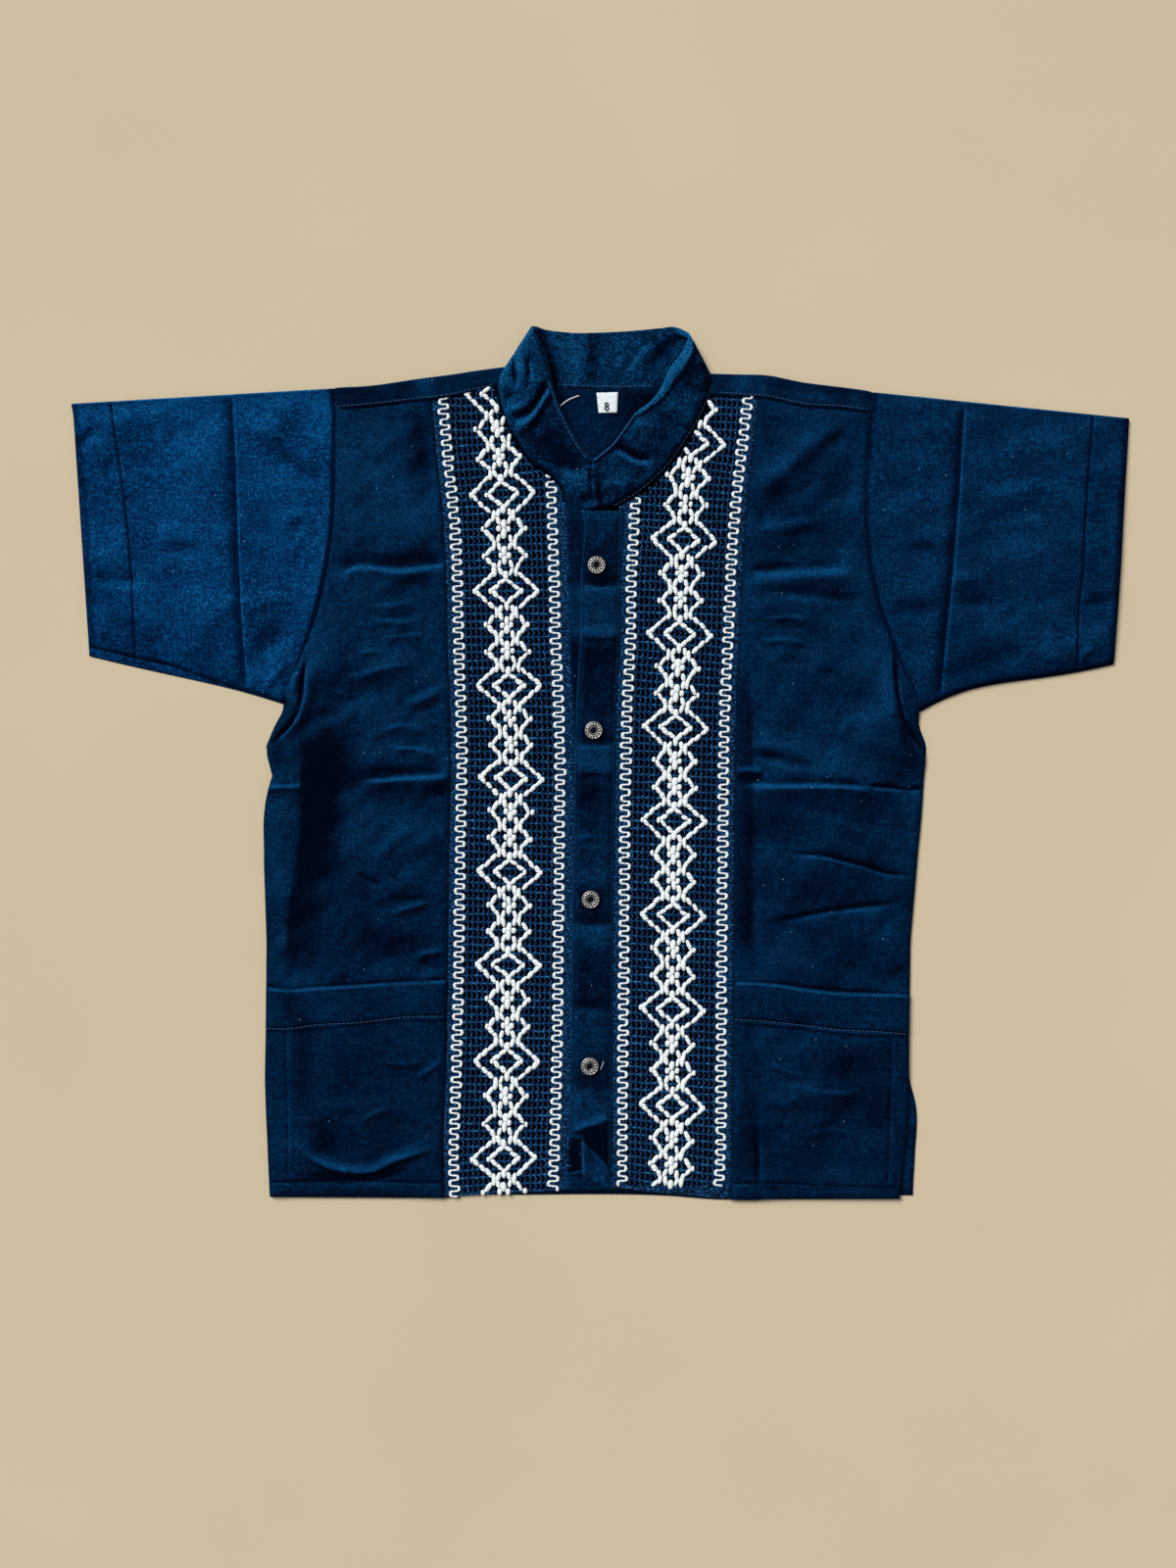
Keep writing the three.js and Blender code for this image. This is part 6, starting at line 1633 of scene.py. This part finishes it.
def collarRows():
    def frontRow(row):
        baseX, baseY, topX, topY, lift, stand = row
        low = lift + collar["wall"]
        return [baseX, baseY, low, topX, topY, low + stand]

    def roll(front, behind, side):
        front, rows = frontRow(front), []
        for angle in collar["angles"]:
            turn, share = math.radians(angle), angle / 180
            push = side * collar["bulge"] * math.sin(turn)
            height = (1 + math.cos(turn)) / 2
            rows.append([
                front[0] + share * (behind[0] - front[0]) + push,
                front[1] + share * (behind[1] - front[1]) + collar["baseShift"] * math.sin(turn),
                front[2] * height,
                front[3] + share * (behind[2] - front[3]) + push,
                front[4] + share * (behind[3] - front[4]) + collar["topShift"] * math.sin(turn),
                front[5] * height])
        return rows

    rows = [frontRow(row) for row in collar["frontRight"]]
    rows += roll(collar["frontRight"][-1], collar["back"][0], -1)
    rows += [[a, b, 0.0, c, d, 0.0] for a, b, c, d in collar["back"]]
    rows += roll(collar["frontLeft"][0], collar["back"][-1], 1)[::-1]
    rows += [frontRow(row) for row in collar["frontLeft"]]
    return np.array(rows)


def makeCollar():
    rows = collarRows()
    middle = (rows[:, [0, 1]] + rows[:, [3, 4]]) / 2
    dense = curveThrough(np.column_stack([middle, rows]), collar["spacing"])[:, 2:]
    share = np.linspace(0, 1, collar["profile"])
    share = share + 0.06 * np.sin(2 * math.pi * share)
    base, top = dense[:, None, :3], dense[:, None, 3:]
    grid = base * (1 - share[None, :, None]) + top * share[None, :, None]
    rise = np.sin(share * math.pi / 2)[None, :]
    grid[..., 2] = dense[:, None, 2] * (1 - rise) + dense[:, None, 5] * rise
    x, y = grid[..., 0].ravel(), grid[..., 1].ravel()
    high = np.clip(grid[..., 2] / 3, 0, 1)
    long = np.linalg.norm(dense[:, 3:5] - dense[:, :2], axis=1)[:, None]
    fromBase, fromTop = share[None] * long, (1 - share[None]) * long
    settle = smoothRise(np.minimum(fromBase, fromTop) / 9)
    front = (creaseHeight(collar["creases"], x, y) + 0.5 * swell(x, y, 71)).reshape(high.shape)
    behind = (creaseHeight(collar["backCreases"], x, y) + 0.25 * np.abs(swell(x, y, 72))).reshape(high.shape)
    grid[..., 2] += settle * (high * front + (1 - high) * behind)
    grid[..., 2] -= high * (0.5 * bell(fromTop, 1.2) + collar["skirt"] * bell(fromBase, 1.8))
    grid[..., 2] = np.maximum(grid[..., 2], 0)
    leftEnd = np.linspace(0, 1, len(dense))[:, None]
    turned = smoothRise((leftEnd - collar["stripFrom"]) / 0.03)
    strip = column(collar["strip"])(grid[..., 1])
    grid[..., 2] -= collar["stripGroove"] * turned * bell(fromTop - strip, 0.7)
    # Painted light on the turned strip, and a painted shadow line just below it
    pale = turned * (collar["stripPaintedLight"] * smoothRise((strip - fromTop) / 0.8 + 0.5)
                     - collar["stripShade"] * bell(fromTop - strip - 1.1, 1.1))
    # Painted shade along the collar's base
    outline = -0.3 * bell(fromBase, 1.2)
    worn = 0.3 * bell(fromTop, 1.0)
    patches = paintedShading(collar["tone"], collar["toneLines"])
    return gridShell(grid, collar["wall"], worn, lambda x, y: patches(x, y) + (pale + outline).ravel())


collarPart = makeCollar()
collarCloth = addPiece("collarCloth", [collarPart], "collar", node="collar")
surfaces["collar"] = collarPart
print("collar laid")


label = {"x": 4.5, "top": 2.25, "digitX": 4.2, "digitY": 235.2, "inkLift": 0.62, "flat": (0.0144, 0.0137),
         "corners": [(-1.1, 231.2), (11.2, 231.0), (11.8, 244.7), (-2.5, 244.4), (-1.1, 231.2)]}


def labelTop(x, y, edge):
    return label["top"] + 0.12 * np.sin((x - label["x"]) / 3.4) - 0.1 * bell(edge, 0.5)


def flatRing(x, y, outerWide, outerHigh, stroke, z):
    angle = np.linspace(0, 2 * math.pi, 33)[:-1]
    parts = [np.column_stack([x + w * np.cos(angle), y + h * np.sin(angle)])
             for w, h in ((outerWide, outerHigh), (outerWide - stroke, outerHigh - stroke))]
    points = np.vstack([np.column_stack([p, np.full(32, level)]) for level in (z, z - 0.1) for p in parts])
    i = np.arange(32)
    j = (i + 1) % 32
    quads = [np.stack([i, j, j + 32, i + 32], -1), np.stack([i + 96, j + 96, j + 64, i + 64], -1),
             np.stack([i + 64, j + 64, j, i], -1), np.stack([i + 32, j + 32, j + 96, i + 96], -1)]
    return {"points": points, "faces": np.vstack(quads).tolist()}


labelSides = zip(label["corners"], label["corners"][1:])
labelLoop = np.vstack([curveThrough([a, b], 1.2)[:-1] for a, b in labelSides])
sizeLabel = addPiece("sizeLabel", [cutSheet(labelLoop, 1.3, labelTop, 0.35)], "tape", node="size_label")
inkLevel = label["top"] + label["inkLift"]
numeral = [flatRing(label["digitX"], label["digitY"] + 1.3, 1.42, 1.42, 0.74, inkLevel),
           flatRing(label["digitX"], label["digitY"] - 1.2, 1.6, 1.58, 0.78, inkLevel)]
labelNumeral = addPiece("labelNumeral", numeral, "ink")
print("label sewn")


buttons = {"button_1": (-2.5, 129.7), "button_2": (-4.4, 20.8), "button_3": (-6.4, -90.7),
           "button_4": (-7.0, -200.5)}
button = {"dashes": 14, "dashRing": (4.2, 5.2), "dotRing": (3.25, 4.0), "sunk": 0.35, "blackened": 0.95,
          "around": 112, "facet": 0.24, "holeReach": 1.45, "holeSize": 0.72, "holeDepth": 0.8,
          "turns": (0.3, -0.15, 0.5, 0.1)}
# Its cut from the middle out and back under: radius, height, and how dark it is: blackened in its hollows,
# and on its outer wall and underside as painted shade
buttonProfile = [
    (0, 1.05, 0.6), (1.9, 1.05, 0.6), (2.2, 1.75, 0.2), (2.5, 1.95, 0), (2.7, 1.5, 0.9), (3.1, 1.55, 0.9),
    (3.3, 2.05, 0), (4.1, 2.1, 0), (4.25, 1.9, 0.05), (5.15, 1.9, 0.05), (5.3, 2.1, 0), (5.6, 1.95, 0),
    (5.8, 1.4, 0.6), (5.8, 0.7, 0.9), (4.7, 0.02, 0.5), (0, 0.02, 0.5),
]


def makeButton(x, y, z, turn):
    fine = [np.array(buttonProfile[0])]
    for a, b in zip(buttonProfile, buttonProfile[1:]):
        a, b = np.array(a), np.array(b)
        count = max(1, int(np.ceil(np.linalg.norm((b - a)[:2]) / button["facet"]))) if b[1] > 0.03 else 2
        fine += [a + (b - a) * (k + 1) / count for k in range(count)]
    fine = np.array(fine)
    theta = np.linspace(0, 2 * math.pi, button["around"] + 1)[:-1] + turn
    r = np.repeat(fine[:, :1], len(theta), axis=1)
    level, dark = np.repeat(fine[:, 1:2], len(theta), axis=1), np.repeat(fine[:, 2:3], len(theta), axis=1)
    spin = theta[None, :] - turn
    upper = level > 1.3
    dash = smoothRise((np.cos(button["dashes"] * spin) + 0.15) / 0.4) * upper
    inner, outer = button["dashRing"]
    dash = dash * smoothRise((r - inner) / 0.2) * smoothRise((outer - r) / 0.2)
    dot = smoothRise((np.cos(button["dashes"] * spin + 1.6) - 0.1) / 0.4) * upper
    inner, outer = button["dotRing"]
    dot = dot * smoothRise((r - inner) / 0.15) * smoothRise((outer - r) / 0.15)
    dash = dash + dot
    level = level - button["sunk"] * dash
    dark = dark + button["blackened"] * dash
    px, py = r * np.cos(theta), r * np.sin(theta)
    for k in range(4):
        at = turn + math.pi / 4 + k * math.pi / 2
        off = np.hypot(px - button["holeReach"] * math.cos(at), py - button["holeReach"] * math.sin(at))
        hole = smoothRise((button["holeSize"] + 0.12 - off) / 0.24) * (level > 0.5)
        level = level - button["holeDepth"] * hole
        dark = dark + hole
    points = np.stack([x + px, y + py, z + level], -1).reshape(-1, 3)
    n, m = r.shape
    index = np.arange(n * m).reshape(n, m)
    a, b = index[:-1], index[1:]
    faces = np.stack([a, b, np.roll(b, -1, axis=1), np.roll(a, -1, axis=1)], -1).reshape(-1, 4)
    return {"points": points, "faces": faces.tolist(), "patinaAndRimShade": np.clip(dark, 0, 1).ravel()}


buttonThread = []
for (node, (x, y)), turn in zip(buttons.items(), button["turns"]):
    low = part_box(node)[0][2] / mm
    addPiece(node + "Cast", [makeButton(x, y, low, turn)], "button", node=node)
    for k in (0, 1):
        aside = 0.85 * (2 * k - 1)
        middle = [x - aside * math.sin(turn), y + aside * math.cos(turn), low + 1.35]
        buttonThread.append(beads([middle] * 2, [turn, turn + 0.05], [2.2, 2.2], [0.55, 0.5], [0.5, 0.8]))
    tack = [(x + dx, y + 6.9 + dy, low - 0.1) for dx, dy in ((-0.5, 0), (0.1, 0.35), (0.6, 0.1))]
    buttonThread.append(beads(tack, [1.4, 1.7, 1.5], [1.5, 1.8, 1.4], [0.4] * 3, [0.4] * 3))
print("buttons cast")


over = {node: surfaceOf(part) for node, part in surfaces.items()}
sewing, paleRows = [], []
for table in (plackets, pockets, sleeves):
    for node, look in table.items():
        rows = [stitchRow(path, over[node]) for path in look.get("stitching", [])]
        if table is pockets:
            paleRows.append(rows.pop(0))
        sewing += rows
shoulderTop = surfaceOf(*backParts[1:])
for rows in back["shoulders"]:
    paleRows.append(stitchRow([(x + 0.5, seam + 1.7) for x, _, seam in rows], shoulderTop))


# A line inside the collar's base edge (or its top edge) at an even distance
def collarLine(rows, inset, fromTop=False):
    near = np.array([row[2:4] if fromTop else row[:2] for row in rows], float)
    far = np.array([row[:2] if fromTop else row[2:4] for row in rows], float)
    return near + inset * (far - near) / np.linalg.norm(far - near, axis=1)[:, None]


sewing.append(stitchRow(collarLine(collar["frontRight"][1:], 1.8), over["collar"]))
leftBase = collarLine(collar["frontLeft"], 1.5)
paleRows.append(stitchRow(leftBase[leftBase[:, 0] > -1], over["collar"]))
sewing.append(stitchRow(collarLine(collar["frontRight"][1:6], 1.4, True), over["collar"]))
paleRows.append(stitchRow(collarLine(collar["frontRight"][1:6], 4.2, True), over["collar"]))
paleRows.append(stitchRow(collarLine(collar["frontLeft"][4:], 0.9, True), over["collar"]))
paleRows.append(stitchRow([(-28, 250.2), (-3, 249.0), (20, 248.9), (34, 249.4)], over["collar"]))
addPiece("machineStitching", sewing + buttonThread, "sewing")
addPiece("fadedStitching", paleRows, "worn")
looseLine = curveThrough([(-27, 235, 1.7), (-22, 239, 2.2), (-14, 242.5, 1.7)], 1.0)
endLine = curveThrough([(2.2, -197.4, 6.1), (1.4, -199.8, 6.5), (0.2, -202.8, 6.1)], 0.8)
addPiece("looseThread", [threads(looseLine[None], 0.42, 0.42, 8), threads(endLine[None], 0.2, 0.2, 8)],
         "loose")
print("threads sewn")


# Floor, light and camera
floorPlan = {"half": 3.0, "drop": 0.0001}      # metres; the drop keeps it just under the cloth
half = floorPlan["half"]
floorMesh = bpy.data.meshes.new("floor")
floorMesh.from_pydata([(-half, -half, 0), (half, -half, 0), (half, half, 0), (-half, half, 0)], [],
                      [(0, 1, 2, 3)])
floorMesh.materials.append(materials["floor"])
floor = bpy.data.objects.new("floor", floorMesh)
bpy.context.scene.collection.objects.link(floor)
floor.location.z = -floorPlan["drop"]

light = {"energy": 3.35, "angle": 32, "tint": (1.0, 0.99, 0.975), "from": (-0.5, 0.6, 0.78),
         "sky": (0.9, 0.95, 1.0, 1), "skyStrength": 0.2}
bpy.context.scene.view_settings.view_transform = "Standard"
sun = bpy.data.lights.new("window", "SUN")
sun.energy, sun.angle, sun.color = light["energy"], math.radians(light["angle"]), light["tint"]
window = bpy.data.objects.new("window", sun)
window.rotation_euler = Vector(light["from"]).to_track_quat("Z", "Y").to_euler()
bpy.context.scene.collection.objects.link(window)
world = bpy.data.worlds.new("room")
world.use_nodes = True
world.node_tree.nodes["Background"].inputs["Color"].default_value = light["sky"]
world.node_tree.nodes["Background"].inputs["Strength"].default_value = light["skyStrength"]
bpy.context.scene.world = world

shot = {"x": -8.1, "y": -14.6, "view": 1040.0, "lens": 35.0, "sensor": 36.0}
lens = bpy.data.cameras.new("camera")
lens.lens, lens.sensor_width, lens.sensor_fit = shot["lens"], shot["sensor"], "VERTICAL"
lens.sensor_height = shot["sensor"]
camera = bpy.data.objects.new("camera", lens)
camera.location = (shot["x"] * mm, shot["y"] * mm, shot["view"] * mm * shot["lens"] / shot["sensor"])
bpy.context.scene.collection.objects.link(camera)
bpy.context.scene.camera = camera


# A loop over the pockets that has no effect, and the lowest corner of the box round all shown pieces
for node, piece in pocketPieces.items():
    "frontRightCloth" if "right" in node else "frontLeftCloth"

corners = [piece.matrix_world @ Vector(corner) for piece in bpy.data.objects
           if piece.type == "MESH" and piece.name != "floor" and piece.visible_get() and not piece.hide_render
           for corner in piece.bound_box]
low = [float(min(corner[i] for corner in corners)) for i in range(3)]
